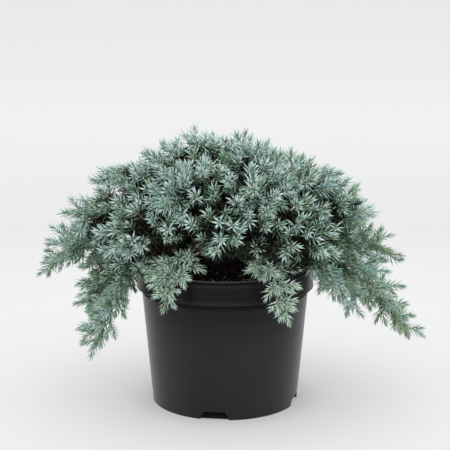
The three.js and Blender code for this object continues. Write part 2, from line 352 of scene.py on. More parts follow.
def settle(piece):
    """Bakes a piece's modifiers into its mesh."""
    graph = bpy.context.evaluated_depsgraph_get()
    finished = bpy.data.meshes.new_from_object(piece.evaluated_get(graph))
    piece.modifiers.clear()
    piece.data = finished


pot = add_piece("nursery_pot", mesh_of("nursery_pot", spin_section(pot_section, POT_STEPS)),
                ["pot"], [])
for depth, bottom in NOTCH_CUTS:
    wedges = bpy.data.objects.new("notch_wedges", make_notch_wedges(depth, bottom))
    scene.collection.objects.link(wedges)
    cut = pot.modifiers.new("notches", "BOOLEAN")
    cut.operation = "DIFFERENCE"
    cut.object = wedges
    cut.solver = "EXACT"
    settle(pot)
    bpy.data.objects.remove(wedges)

# %% Moulded edges
EDGE_ROUNDING = 0.55 * MM
ROUNDED_FROM = math.radians(32)  # edges that turn more than this are rounded
SHARP_FROM = math.radians(40)  # and shading doesn't run over edges that still turn more than this

edge = pot.modifiers.new("moulded_edges", "BEVEL")
edge.width = EDGE_ROUNDING
edge.segments = 3
edge.limit_method = "ANGLE"
edge.angle_limit = ROUNDED_FROM
edge.harden_normals = False
settle(pot)
pot.data.shade_smooth()
pot.data.set_sharp_from_angle(angle=SHARP_FROM)
print("pot:", len(pot.data.polygons), "faces after the notches and edges")

# %% [markdown]
# ## Black plastic
#
# Recycled black polypropylene is never quite even: faint clouding, specks of dust and a fine matt grain
# from the mould. A ramp by height paints light and shade: painted shade darkens the wall towards the
# band and the band under the foliage, dark painted shadow lines run under the band and under the lip,
# and painted highlights run along the foot's step, the band's lower edge, the top of the band and the
# lip. One noise multiplies it for the clouds, a finer one adds the specks, another shifts the
# roughness, and the finest is a bump.

# %% Black plastic
WALL_BLACK = (0.0138, 0.0122, 0.0156)
# after the plastic's own black: painted shade, painted shadow and painted highlights
NECK_PAINTED_SHADE = (0.0050, 0.0042, 0.0062)
PAINTED_SHADOW_BLACK = (0.0015, 0.0014, 0.0020)
PAINTED_EDGE_HIGHLIGHT = (0.0095, 0.0085, 0.0110)
BAND_PAINTED_SHADE = (0.0018, 0.0014, 0.0034)
PAINTED_LIP_HIGHLIGHT = (0.0300, 0.0290, 0.0330)
SPECK_DUST = (0.05, 0.05, 0.052)
# painted light by height: painted shade under and on the band, painted shadow lines under the band and the
# lip, painted highlights on the foot's step, the band's edges and the lip
PAINTED_LIGHT_BLACKS = [  # height in mm and colour
    (0, WALL_BLACK), (12.2, WALL_BLACK), (12.7, PAINTED_EDGE_HIGHLIGHT), (13.2, WALL_BLACK), (82, WALL_BLACK),
    (110, NECK_PAINTED_SHADE), (119, NECK_PAINTED_SHADE), (122, PAINTED_SHADOW_BLACK), (125.7, PAINTED_SHADOW_BLACK), (126, PAINTED_EDGE_HIGHLIGHT),
    (127.5, PAINTED_EDGE_HIGHLIGHT), (132, BAND_PAINTED_SHADE), (143, BAND_PAINTED_SHADE), (146, PAINTED_EDGE_HIGHLIGHT), (148, PAINTED_SHADOW_BLACK),
    (149.8, PAINTED_SHADOW_BLACK), (150, PAINTED_LIP_HIGHLIGHT),
]

# %% Colour by height and mixed colours
def add_height(material, top):
    """0 to 1 from the piece's foot to a height."""
    place = add_node(material.node_tree, "TexCoord", "Object")
    level = add_node(material.node_tree, "SeparateXYZ", "Z", Vector=place)
    return add_node(material.node_tree, "MapRange", "Result", Value=level, From_Max=top)


def mix_colors(material, share, first, second, blend="MIX"):
    """Mixes two colours; share, first and second are sockets or plain values."""
    mixer = material.node_tree.nodes.new("ShaderNodeMix")
    mixer.data_type = "RGBA"
    mixer.blend_type = blend
    for number, value in ((0, share), (6, first), (7, second)):
        if isinstance(value, bpy.types.NodeSocket):
            material.node_tree.links.new(value, mixer.inputs[number])
        else:
            mixer.inputs[number].default_value = value
    return mixer.outputs[2]


# %% Plastic finish
plastic, plastic_shader = finish("black_plastic", WALL_BLACK, 0.36, Specular_IOR_Level=0.165,
                                 Sheen_Weight=0.12, Sheen_Roughness=0.5)
painted_light_by_height = add_ramp(plastic, add_height(plastic, POT_HEIGHT),
                     [(height * MM / POT_HEIGHT, color) for height, color in PAINTED_LIGHT_BLACKS])
clouds = add_ramp(plastic, add_noise(plastic, 14, detail=5), [(0.30, grey(0.75)), (0.70, grey(1.25))])
clouded_painted_light = mix_colors(plastic, 1.0, painted_light_by_height, clouds, "MULTIPLY")
specks = add_ramp(plastic, add_noise(plastic, 420, detail=1), [(0.70, grey(0)), (0.78, grey(0.4))])
plastic_color = mix_colors(plastic, specks, clouded_painted_light, (*SPECK_DUST, 1))
feed(plastic_shader, "Base Color", plastic_color)
scuffs = add_ramp(plastic, add_noise(plastic, 45, detail=6), [(0.35, grey(0.29)), (0.7, grey(0.34))])
feed(plastic_shader, "Roughness", scuffs)
add_bump(plastic_shader, add_noise(plastic, 1500, detail=2), 0.04 * MM)
pot.data.materials.append(plastic)

# %% [markdown]
# ## Creases in the plastic
#
# Under the band and under the lip the plastic runs into a sharp inner corner that hardly any light
# finds. A shader knows nothing of such a corner, so its faces take finishes of their own, painted
# near black and with less shine, chosen by their height: painted shade.

# %% Creases in the plastic
PAINTED_SHADE_CREASES = [  # low and high level in mm, and how much the crease still shines
    (119.5, 122.3, 0.21), (122.3, 126, 0.16), (147.8, 149.1, 0.17), (149.1, 150.2, 0.10),
]
OUTER_WALL = RIM_RADIUS - 8 * MM

for number, (low, high, shine) in enumerate(PAINTED_SHADE_CREASES, 1):
    # darker, less shiny copies of the plastic: painted shade in the creases
    painted_shade_crease, _ = finish(f"crease_{number}", PAINTED_SHADOW_BLACK, 0.7, Specular_IOR_Level=shine)
    pot.data.materials.append(painted_shade_crease)
    for face in pot.data.polygons:
        outward = face.center.xy.length > OUTER_WALL and face.normal.xy.dot(face.center.xy) > 0
        if outward and low * MM < face.center.z < high * MM:
            face.material_index = number

# %% [markdown]
# ## The potting mix
#
# Dark moist peat fills the pot to just under its rim. Its body is spun like the pot, with a finely
# divided top that noise lifts into clods. Loose crumbs and pale fibres of bark lie on it.

# %% Potting mix
mix_low, mix_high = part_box("potting_mix")
MIX_LEVEL = 142 * MM
MIX_EDGE = mix_high.x - 0.1 * MM
MIX_STEPS = 150
MIX_RINGS = 44
CLOD_HEIGHT = 2.4 * MM

mix_section = [  # inside the wall, from the middle of the base up to the edge of the top
    (0, mix_low.z), (56 * MM, mix_low.z), (74 * MM, 26 * MM), (86 * MM, band_foot + WALL),
    (MIX_EDGE, band_foot + 2.4 * MM),
]
mix_section += [(MIX_EDGE * (1 - ring / MIX_RINGS), MIX_LEVEL) for ring in range(MIX_RINGS + 1)]


def clod_height(x, y):
    """How far the peat stands above or below its level at a place, from two sizes of clod."""
    broad = noise.noise(Vector((x, y, 0.3)) / (16 * MM))
    fine = noise.noise(Vector((x, y, 5.1)) / (4.5 * MM))
    return CLOD_HEIGHT * (0.6 * broad + 0.45 * fine)


bm = spin_section(mix_section, MIX_STEPS)
for corner in bm.verts:
    if corner.co.z > MIX_LEVEL - 0.1 * MM:
        inside = min(1.0, (MIX_EDGE - corner.co.xy.length) / (3 * MM))
        corner.co.z += clod_height(corner.co.x, corner.co.y) * max(inside, 0.15)
mix = add_piece("peat", mesh_of("peat", bm), ["potting_mix"], [])

# %% [markdown]
# ## Moist peat
#
# Wet peat is nearly black, with brown where single crumbs dry out and catch the light. They are too
# small to model all over, so a noise with much fine detail picks the tones through a ramp, and a
# finer one roughens the surface as a bump.

# %% Peat finish
peat, peat_shader = finish("moist_peat", (0.014, 0.009, 0.006), 0.85, Specular_IOR_Level=0.3)
peat_color = add_ramp(peat, add_noise(peat, 260, detail=8, roughness=0.7), [
    (0.35, (0.006, 0.004, 0.003)),
    (0.60, (0.020, 0.012, 0.008)),
    (0.75, (0.060, 0.034, 0.018)),
])
feed(peat_shader, "Base Color", peat_color)
add_bump(peat_shader, add_noise(peat, 700, detail=6), 0.6 * MM)
mix.data.materials.append(peat)

# %% [markdown]
# ## Small things by the thousand
#
# Crumbs, fibres, twigs and needles are far too many to model one by one, and as separate objects
# they would choke any program. Each kind is worked out as arrays of numbers and joined straight into
# one mesh.

# %% Mesh from arrays
def join_mesh(name, points, faces_by_size, shades_by_size):
    """One mesh from points and, for each face size, an array of faces and of material numbers."""
    mesh = bpy.data.meshes.new(name)
    faces = [block.reshape(-1) for block in faces_by_size]
    sizes = np.concatenate([np.full(len(block), block.shape[1]) for block in faces_by_size])
    starts = np.concatenate([[0], np.cumsum(sizes)[:-1]]).astype(np.int32)
    corners = np.concatenate(faces).astype(np.int32)
    mesh.vertices.add(len(points))
    mesh.vertices.foreach_set("co", points.astype(np.float32).reshape(-1))
    mesh.loops.add(len(corners))
    mesh.loops.foreach_set("vertex_index", corners)
    mesh.polygons.add(len(sizes))
    mesh.polygons.foreach_set("loop_start", starts)
    mesh.polygons.foreach_set("material_index", np.concatenate(shades_by_size).astype(np.int32))
    mesh.update(calc_edges=True)
    return mesh


def unit(vectors):
    return vectors / np.maximum(np.linalg.norm(vectors, axis=-1, keepdims=True), 1e-12)


# %% [markdown]
# ## The blade
#
# A juniper needle is a stiff narrow blade: flat and waxy above, keeled below, drawn out to a point
# and bent a little upwards. Six corners and seven faces give that outline as a closed solid. The
# same blade, broader, serves for fibres of bark and for dead needles.

# %% Blade arrays
BLADE_CORNERS = np.array([  # along, across, up: shares of length, width and width
    (0.00, -0.40, 0.00),
    (0.52, -0.48, 0.22),
    (1.00, 0.00, 0.75),
    (0.52, 0.48, 0.22),
    (0.00, 0.40, 0.00),
    (0.40, 0.00, -0.32),
])
BLADE_TOP_TRI = np.array([(1, 2, 3)])
BLADE_TOP_QUAD = np.array([(0, 1, 3, 4)])
BLADE_KEEL = np.array([(5, 1, 0), (5, 2, 1), (5, 3, 2), (5, 4, 3), (5, 0, 4)])


def blade_mesh(name, blades):
    """blades holds foot, heading and up as (n, 3), and length, width and shade as (n,). Material
    2 * shade is the upper side and 2 * shade + 1 the keel."""
    heading = unit(blades["heading"])
    across = unit(np.cross(blades["up"], heading))
    up = np.cross(heading, across)
    length = blades["length"][:, None, None]
    width = blades["width"][:, None, None]
    points = (blades["foot"][:, None, :]
              + heading[:, None, :] * BLADE_CORNERS[None, :, 0:1] * length
              + across[:, None, :] * BLADE_CORNERS[None, :, 1:2] * width
              + up[:, None, :] * BLADE_CORNERS[None, :, 2:3] * width)
    first = np.arange(len(heading))[:, None, None] * len(BLADE_CORNERS)
    shade = blades["shade"].astype(int)
    tris = (BLADE_TOP_TRI[None] + first).reshape(-1, 3)
    quads = (BLADE_TOP_QUAD[None] + first).reshape(-1, 4)
    keel = (BLADE_KEEL[None] + first).reshape(-1, 3)
    return join_mesh(name, points.reshape(-1, 3), [tris, quads, keel],
                     [2 * shade, 2 * shade, np.repeat(2 * shade + 1, len(BLADE_KEEL))])


# %% [markdown]
# ## Crumbs and fibres on the peat
#
# Crumbs are squashed icosahedra, pushed about by noise. Fibres are blades laid nearly flat. Both are
# thickest in a ring just inside the rim, where watering washes them, and both sit in the surface.

# %% Crumbs and fibres
CRUMBS = 1500
FIBRES = 1000
OUTER_RING = (0.86, 0.985)  # shares of the mix's radius


def places_on_mix(count, edge_share):
    """Random places on the peat: a share of them in the outer ring, the others anywhere."""
    radius = MIX_EDGE * np.sqrt(random.random(count)) * 0.97
    outer = random.random(count) < edge_share
    radius[outer] = MIX_EDGE * random.uniform(*OUTER_RING, outer.sum())
    angle = random.uniform(0, math.tau, count)
    x, y = radius * np.cos(angle), radius * np.sin(angle)
    z = np.array([MIX_LEVEL + clod_height(a, b) for a, b in zip(x, y)])
    return np.stack([x, y, z], axis=1)


# %% Crumbs
def crumb_mesh(count):
    ball = bmesh.new()
    bmesh.ops.create_icosphere(ball, subdivisions=1, radius=1)
    shape = np.array([corner.co[:] for corner in ball.verts])
    faces = np.array([[corner.index for corner in face.verts] for face in ball.faces])
    ball.free()
    size = random.uniform(0.5, 1.0, count) ** 3 * 2.6 * MM  # many small ones and few large
    lumpy = shape[None] * random.uniform(0.55, 1.25, (count, len(shape), 1))
    lumpy = lumpy * np.array([1, 0.85, 0.6]) * size[:, None, None]
    points = places_on_mix(count, 0.35)[:, None, :] + lumpy
    first = np.arange(count)[:, None, None] * len(shape)
    tris = (faces[None] + first).reshape(-1, 3)
    return join_mesh("crumbs", points.reshape(-1, 3), [tris], [np.zeros(len(tris))])


add_piece("peat_crumbs", crumb_mesh(CRUMBS), [], [peat])

# %% Fibres
fibre_turn = random.uniform(0, math.tau, FIBRES)
fibre_rise = random.normal(0, 0.22, FIBRES)
fibres = {
    "foot": places_on_mix(FIBRES, 0.75) + np.array([0, 0, 0.6 * MM]),
    "heading": np.stack([np.cos(fibre_turn), np.sin(fibre_turn), fibre_rise], axis=1),
    "up": np.tile([0.0, 0.0, 1.0], (FIBRES, 1)) + random.normal(0, 0.4, (FIBRES, 3)),
    "length": random.uniform(2.5, 10, FIBRES) * MM,
    "width": random.uniform(0.8, 2.4, FIBRES) * MM,
    "shade": random.integers(0, 3, FIBRES),
}
FIBRE_COLORS = [(0.58, 0.41, 0.20), (0.34, 0.19, 0.08), (0.12, 0.06, 0.028)]
fibre_finishes = []
for number, color in enumerate(FIBRE_COLORS):
    for side in ("top", "underside"):
        fibre_finishes.append(finish(f"bark_fibre_{number}_{side}", color, 0.75)[0])
add_piece("bark_fibres", blade_mesh("bark_fibres", fibres), [], fibre_finishes)

# %% [markdown]
# ## Reading the limbs off the frame
#
# The solids of the stem and the boughs say where each limb runs and how thick it is. Cutting a limb
# across at even steps and taking the middle of each cut gives its centre line.

# %% Corners and triangles of a solid
def corners_of(node):
    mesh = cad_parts[node].data
    corners = np.empty(len(mesh.vertices) * 3)
    mesh.vertices.foreach_get("co", corners)
    return corners.reshape(-1, 3)


def triangles_of(node):
    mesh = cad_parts[node].data
    mesh.calc_loop_triangles()
    index = np.empty(len(mesh.loop_triangles) * 3, dtype=np.int32)
    mesh.loop_triangles.foreach_get("vertices", index)
    return corners_of(node)[index.reshape(-1, 3)]


# %% Centre lines
def cut_across(triangles, place, heading):
    """The middle and the mean radius of a solid's section at a place, across a heading."""
    first = triangles.reshape(-1, 3)
    second = np.roll(triangles, -1, axis=1).reshape(-1, 3)
    a = (first - place) @ heading
    b = (second - place) @ heading
    crossing = (a * b) < 0
    share = (a[crossing] / (a[crossing] - b[crossing]))[:, None]
    points = first[crossing] + (second[crossing] - first[crossing]) * share
    middle = points.mean(axis=0)
    return middle, np.linalg.norm(points - middle, axis=1).mean()


def centre_line(node, start, end, cuts):
    heading = unit(end - start)
    shares = np.linspace(0.06, 0.96, cuts)
    sections = [cut_across(triangles_of(node), start + (end - start) * share, heading) for share in shares]
    return np.array([middle for middle, _ in sections]), np.array([radius for _, radius in sections])


# %% Stem line
stem_low, stem_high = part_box("stem")
stem_foot = np.array([0, 0, stem_low.z])
stem_top = np.array([0, 0, stem_high.z])
stem_line, stem_radii = centre_line("stem", stem_foot, stem_top, 14)
print("stem radii, mm:", np.round(stem_radii / MM, 1))

# %% Bough lines
def bough_ends(node):
    """The middles of a bough's two ends: the one by the stem, and the one inside its foliage."""
    corners = corners_of(node)
    gaps = np.linalg.norm(corners[:, None] - stem_line[None], axis=2).min(axis=1)
    near = corners[gaps < gaps.min() + 2 * MM].mean(axis=0)
    far = corners[gaps > gaps.max() - 2 * MM].mean(axis=0)
    return near, far


MASS_NAMES = sorted(name.removeprefix("foliage_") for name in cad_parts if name.startswith("foliage_"))
bough_lines = {}
for name in MASS_NAMES:
    near, far = bough_ends("bough_" + name)
    line, radii = centre_line("bough_" + name, near, far, 7)
    bough_lines[name] = (np.vstack([near, line, far]), np.concatenate([radii[:1], radii, radii[-1:]]))
print("boughs:", len(bough_lines))

# %% [markdown]
# ## Curves
#
# Two small tools for lines in space: a cubic curve from four control points, and a line laid out
# again with points at an even spacing.

# %% Curve tools
def bezier(a, b, c, d, count=14):
    t = np.linspace(0, 1, count)[:, None]
    return (1 - t) ** 3 * a + 3 * (1 - t) ** 2 * t * b + 3 * (1 - t) * t ** 2 * c + t ** 3 * d


def lengths_along(line):
    steps = np.linalg.norm(np.diff(line, axis=0), axis=1)
    return np.concatenate([[0], np.cumsum(steps)])


def at_lengths(line, wanted):
    """Points of a line at the wanted lengths from its start."""
    run = lengths_along(line)
    return np.stack([np.interp(wanted, run, line[:, axis]) for axis in range(3)], axis=1)


def evenly(line, spacing):
    total = lengths_along(line)[-1]
    count = max(2, int(round(total / spacing)) + 1)
    return at_lengths(line, np.linspace(0, total, count))


def headings_of(line):
    return unit(np.gradient(line, axis=0))


def sides_of(headings):
    """For each heading, a direction square to it that turns as little as it can along the line."""
    mean = unit(headings.mean(axis=0))
    spare = np.array([0, 0, 1.0]) if abs(mean[2]) < 0.8 else np.array([1.0, 0, 0])
    return unit(spare - (headings @ spare)[:, None] * headings)


# %% [markdown]
# ## Limbs through the foliage
#
# A limb goes on from its bough through the middle of its mass of foliage to the mass's far end. The
# shoots of that mass all leave this limb. How they grow and how dark they are goes by the mass's tier,
# which its name gives.

# %% Limbs through the masses
SHOOT_INSET = 8 * MM  # a shoot's needles reach this far past its twig
LIMB_POINTS = 24


def limb_through(name):
    """The line of the limb that goes on from a bough to the far end of its mass."""
    line, _ = bough_lines[name]
    entry, heading = line[-1], unit(line[-1] - line[-3])
    corners = corners_of("foliage_" + name)
    tip = corners[np.linalg.norm(corners - entry, axis=1).argmax()]
    middle = corners.mean(axis=0)
    bend = 2 * middle - 0.5 * (entry + tip)
    tip = tip - unit(tip - bend) * SHOOT_INSET
    reach = np.linalg.norm(tip - entry)
    return bezier(entry, entry + heading * 0.2 * reach + 0.1 * (bend - entry),
                  tip + 0.5 * (bend - tip), tip, LIMB_POINTS)


FLANKS = ("side_left", "side_right", "shoulder_left", "shoulder_right")


def tier_of(mass):
    """crown, shoulder, side or skirt, or one of the two tiers of their own: flank and skirt_front."""
    if mass.startswith("skirt_front"):
        return "skirt_front"
    return "flank" if mass in FLANKS else mass.split("_")[0]


limb_lines = {name: limb_through(name) for name in MASS_NAMES}
print("limbs:", len(limb_lines))

# %% [markdown]
# ## The dome
#
# Seen from outside, the upper masses of a living crown close into one dome with no clefts between
# them. A place deep in the plant is its heart. For many directions from there, the farthest foliage
# gives the dome's reach, and a mean over near directions bridges the clefts.

# %% Dome
HEART = np.array([0, 4, 148]) * MM
DIRECTIONS = 3800
LOWEST = -0.12  # sine of the lowest direction from the heart
NEAR = math.cos(math.radians(10))
LEAST_FOLIAGE = 0.45  # share of the near directions that have to meet foliage
FARTHER_SHARE = 0.6  # only the farther ones of them count for the dome's reach
GOLDEN_TURN = 2.399963  # in radians, the turn that spreads things most evenly round an axis
RAY_START = 0.6
RAY_LENGTH = 0.55
DOME_NAMES = [name for name in MASS_NAMES if not name.startswith("skirt")]
dome_triangles = [triangles_of("foliage_" + name) for name in DOME_NAMES]
dome_owner = np.repeat(np.arange(len(DOME_NAMES)), [len(block) for block in dome_triangles])
dome_corners = np.concatenate(dome_triangles).reshape(-1, 3)
dome_tree = BVHTree.FromPolygons([tuple(corner) for corner in dome_corners],
                                 [(3 * i, 3 * i + 1, 3 * i + 2) for i in range(len(dome_owner))])

# %% Reach of the dome
sines = np.linspace(LOWEST, 0.999, DIRECTIONS)
levels = np.sqrt(1 - sines ** 2)
turns = np.arange(DIRECTIONS) * GOLDEN_TURN
directions = np.stack([levels * np.cos(turns), levels * np.sin(turns), sines], axis=1)


def farthest_foliage(direction):
    start = Vector(HEART + direction * RAY_START)
    hit = dome_tree.ray_cast(start, Vector(-direction), RAY_LENGTH)[0]
    return np.nan if hit is None else np.linalg.norm(np.array(hit) - HEART)


reach = np.array([farthest_foliage(direction) for direction in directions])
dome_reach = np.full(DIRECTIONS, np.nan)
for i, direction in enumerate(directions):
    near = reach[directions @ direction > NEAR]
    found = near[~np.isnan(near)]
    if len(found) > LEAST_FOLIAGE * len(near):
        dome_reach[i] = np.sort(found)[int(FARTHER_SHARE * len(found)):].mean()
on_dome = np.flatnonzero(~np.isnan(dome_reach))
dome_mouths = HEART + directions * dome_reach[:, None]
print("directions on the dome:", len(on_dome))
print("reach, mm:", np.nanpercentile(dome_reach, [0, 50, 100]) / MM)

# %% [markdown]
# ## Hollows
#
# A crown isn't closed like a clipped hedge: here and there it opens, and the eye falls into the
# dark. A hollow is a line into the crown that shoots keep clear of. The ones at the front are listed
# in millimetres, and the back of the dome gets its own at random.

# %% Hollows
FRONT_HOLLOWS = [
    (23, -139, 209), (-86, -107, 218), (-34, -118, 229), (-46, -107, 240), (60, -113, 222), (43, -97, 252),
    (-78, -119, 209), (-65, -125, 195), (74, -119, 205), (86, -123, 189), (71, -112, 180), (16, -72, 267),
    (-24, -105, 184), (27, -115, 194), (-14, -105, 168), (0, -105, 168), (15, -105, 168), (33, -105, 180),
    (-97, -85, 168), (-104, -82, 159), (-60, -122, 180), (44, -122, 199), (-8, -118, 210), (-36, -120, 205),
]
LOOK_IN = np.array([0, 0.98, -0.2])  # the way a look from the front goes
HOLLOW_DEPTH = 48 * MM
HOLLOW_LIP = 12 * MM
HOLLOW_GAP = 44 * MM

hollows = [(np.array(mouth) * MM, LOOK_IN) for mouth in FRONT_HOLLOWS]
for i in random.permutation(on_dome):
    gaps = [np.linalg.norm(dome_mouths[i] - mouth) for mouth, _ in hollows]
    if min(gaps) > HOLLOW_GAP and directions[i][1] > 0:
        hollows.append((dome_mouths[i], -directions[i]))
hollow_mouths = np.array([mouth for mouth, _ in hollows])
hollow_ways = np.array([way for _, way in hollows])
print("hollows:", len(hollows))


def room_by_hollows(place):
    """How far a place is from the nearest hollow's line."""
    offset = place - hollow_mouths
    along = np.clip((offset * hollow_ways).sum(axis=1), -HOLLOW_LIP, HOLLOW_DEPTH)
    return np.linalg.norm(offset - hollow_ways * along[:, None], axis=1).min()


# %% [markdown]
# ## The leading tips
#
# A few long shoots give the plant its outline, so each is listed: where its needles end, and
# how it points to the right and up, as seen from the front. Others end in stars that face the front.

# %% Leading tips
LEADING_TIPS = {  # x, y, z in mm, then the heading: right and up
    "crown_left": [
        (-91, 0, 262, -0.4, 0.9), (-83, 5, 274, -0.25, 1), (-67, 5, 281, -0.35, 1),
        (-53, 10, 281, -0.1, 1), (-32, 8, 298, 0, 1), (-13, 10, 290, -0.1, 1), (-21, 8, 288, 0, 1),
    ],
    "crown_back": [(1, 15, 284, 0.1, 1), (12, 10, 286, -0.3, 1)],
    "crown_right": [(22, 8, 293, 0.05, 1), (44, 10, 277, 0.1, 1), (59, 10, 272, -0.05, 1)],
    "shoulder_right": [
        (133, 0, 243, 0.6, 0.8), (127, 0, 236, 0.7, 0.7), (70, 5, 273, 0.1, 1), (84, 5, 268, 0.3, 0.95),
        (96, 0, 264, 0.8, 0.6), (116, 0, 252, 0.6, 0.8),
    ],
    "shoulder_left": [
        (-144, 0, 243, -0.7, 0.7), (-133, 5, 246, -0.35, 0.95), (-114, 0, 255, -0.6, 0.8),
        (-101, 5, 257, -0.2, 1),
    ],
    "side_left": [(-167, 0, 221, -0.75, 0.65), (-157, 0, 219, -0.9, 0.3), (-150, -15, 200, -0.9, 0)],
    "side_right": [(142, 0, 235, 0.7, 0.7)],
    "side_front_left": [(-80, -95, 170, -1, -0.1)],
    "side_front_right": [(76, -100, 167, 1, 0.1)],
    "skirt_left": [
        (-191, 20, 186, -0.85, 0.5), (-196, 25, 169, -1, 0.15), (-199, 28, 156, -1, 0.1),
        (-202, 28, 141, -0.95, -0.25), (-206, 28, 127, -0.8, -0.6), (-191, 20, 133, -0.45, -0.9),
        (-180, 15, 134, -0.3, -0.95), (-170, 10, 141, -0.45, -0.9), (-158, -10, 147, -0.9, 0.1),
        (-177, 10, 166, -0.95, 0.1), (-162, 0, 174, -0.95, 0.1), (-169, 5, 181, -0.9, 0.35),
        (-144, -15, 172, -0.9, -0.2), (-178, 10, 189, -0.7, 0.7), (-166, 5, 187, -0.6, 0.75),
    ],
    "skirt_left_low": [
        (-141, -15, 165, -0.8, -0.3), (-134, -25, 157, -0.7, -0.5), (-146, -12, 157, -0.8, -0.4),
        (-132, -20, 145, -0.8, -0.5), (-148, -20, 131, -0.8, -0.5), (-159, -20, 128, -0.8, -0.5),
        (-160, -45, 114, -0.9, -0.3), (-140, -20, 154, -0.8, -0.4), (-125, -40, 153, -0.7, -0.6),
        (-142, -45, 130, -0.85, -0.45), (-150, -15, 149, -0.9, -0.2), (-126, -30, 151, -0.7, -0.6),
        (-144, -20, 141, -0.8, -0.5), (-153, -35, 131, -0.85, -0.4), (-156, -40, 121, -0.85, -0.45),
    ],
    "skirt_left_front": [
        (-154, -65, 92, -0.8, -0.6), (-148, -72, 79, -0.5, -0.85), (-137, -80, 65, -0.15, -1),
        (-130, -85, 88, 0.1, -1), (-122, -80, 105, 0.05, -1), (-102, -70, 105, 0.3, -0.95),
        (-130, -55, 140, -0.7, -0.6), (-145, -58, 110, -0.85, -0.5), (-129, -68, 123, -0.6, -0.8),
        (-118, -75, 131, -0.4, -0.9), (-106, -80, 129, 0.1, -1), (-130, -75, 105, -0.5, -0.85),
        (-98, -80, 126, 0.35, -0.95), (-101, -78, 116, 0.2, -1),
    ],
    "skirt_right": [
        (160, 15, 190, 0.6, 0.75), (172, 20, 183, 0.8, 0.6), (185, 20, 175, 1, 0.1),
        (179, 25, 158, 0.75, 0.6), (197, 30, 146, 0.95, 0.15), (144, -15, 177, 0.9, 0.2),
        (162, 5, 175, 0.85, 0.35), (176, 15, 150, 0.95, 0.1), (159, 0, 157, 0.9, 0),
        (138, 0, 176, 0.8, 0.2), (133, -10, 167, 0.8, -0.1), (143, 5, 190, 0.7, 0.5),
        (138, -15, 184, 0.8, 0.2), (132, -35, 158, 0.7, -0.5), (126, -40, 164, 0.7, -0.4),
        (147, 5, 165, 0.9, 0), (125, -30, 180, 0.8, 0.1),
    ],
    "skirt_right_low": [
        (196, 5, 120, 0.95, -0.2), (197, -12, 105, 0.95, -0.25), (203, -22, 95, 0.95, -0.25),
        (212, -29, 74, 0.8, -0.6), (194, -35, 77, 0.45, -0.9), (170, -38, 89, 0.35, -0.95),
        (144, -60, 104, 0.7, -0.7), (140, -25, 162, 0.85, -0.1), (180, 5, 137, 0.95, -0.1),
        (163, -12, 142, 0.9, -0.15), (180, -10, 124, 0.9, -0.25), (161, -25, 125, 0.85, -0.4),
        (141, -42, 134, 0.75, -0.5), (181, -20, 108, 0.85, -0.45), (144, -55, 119, 0.5, -0.85),
        (194, -26, 91, 0.8, -0.6), (149, -15, 153, 0.9, -0.1), (177, 10, 148, 0.95, 0),
    ],
    "skirt_right_front": [
        (126, -80, 112, 0.25, -0.95), (111, -82, 127, 0.3, -0.95), (94, -85, 135, -0.2, -1),
        (123, -50, 161, 0.8, -0.3), (122, -60, 141, 0.6, -0.7), (107, -75, 140, 0.1, -1),
        (91, -85, 150, 0.4, -0.9), (100, -85, 142, 0.3, -0.95), (118, -78, 124, 0.4, -0.9),
    ],
    "skirt_front_right": [
        (64, -118, 111, 0.3, -0.95), (71, -116, 126, 0.75, -0.65), (76, -112, 149, 0.95, -0.3),
        (38, -115, 136, -0.5, -0.85), (51, -117, 121, -0.15, -1), (30, -95, 159, -0.05, -1),
        (22, -100, 163, -0.6, -0.8), (55, -106, 160, 0.9, -0.3), (68, -92, 171, 0.9, 0.2),
        (77, -98, 164, 0.95, -0.1),
    ],
    "skirt_front_left": [
        (-63, -112, 122, -0.35, -0.95), (-73, -110, 138, -0.85, -0.5), (-52, -112, 133, 0.15, -1),
        (-39, -110, 147, 0.25, -0.97), (-32, -106, 155, 0.85, -0.5), (-75, -102, 156, -0.95, -0.25),
        (-79, -95, 150, -0.3, -0.95), (-19, -92, 159, 0.7, -0.7), (-89, -88, 168, -0.95, 0.1),
        (-84, -92, 161, -0.9, -0.4), (-77, -100, 145, -0.6, -0.8), (-76, -96, 172, -0.95, 0.15),
        (-66, -98, 179, -0.7, 0.6),
    ],
}

# %% Tips that face the front
STAR_TIPS = {  # x, y, z in mm
    "shoulder_front_right": [(56, -78, 260), (52, -104, 241), (3, -95, 255), (29, -106, 247)],
    "shoulder_front_left": [(-66, -105, 230), (-24, -90, 264)],
    "side_front": [
        (-12, -111, 240), (24, -125, 226), (8, -139, 217), (-6, -137, 220), (33, -109, 190),
        (12, -144, 205), (-24, -112, 194), (-15, -122, 189), (-4, -122, 185), (8, -126, 188),
        (19, -118, 185), (3, -132, 197), (39, -108, 181), (-8, -130, 198), (18, -128, 192),
        (42, -128, 213), (56, -118, 213), (51, -112, 188),
    ],
    "side_front_left": [
        (-85, -126, 192), (-96, -123, 185), (-114, -97, 203), (-58, -124, 201), (-84, -95, 178),
        (-58, -122, 210), (-75, -112, 198), (-47, -118, 201), (-74, -112, 217),
    ],
    "skirt_left_front": [(-91, -92, 165), (-102, -86, 148), (-112, -78, 164)],
    "side_front_right": [
        (74, -99, 230), (83, -117, 204), (105, -82, 217), (73, -112, 212), (86, -104, 207),
        (67, -104, 190), (93, -92, 175),
    ],
    "skirt_right": [(136, -22, 165), (129, -32, 157), (141, -24, 157)],
    "shoulder_right": [(120, -12, 229), (122, -5, 238)],
    "skirt_front_left": [(-37, -65, 170), (-35, -102, 177), (-48, -100, 175), (-58, -104, 170)],
    "skirt_front_right": [
        (34, -80, 178), (46, -108, 167), (32, -112, 188), (56, -100, 179), (36, -104, 157),
        (65, -98, 183),
    ],
}
TO_FRONT = np.array([0, -1, 0.2])
STAR_HEART = np.array([0, 4, 205]) * MM  # they point away from here as well

# %% Places and headings of the leading tips
growing = []  # mass, place, outward direction, kind, heading where it's set

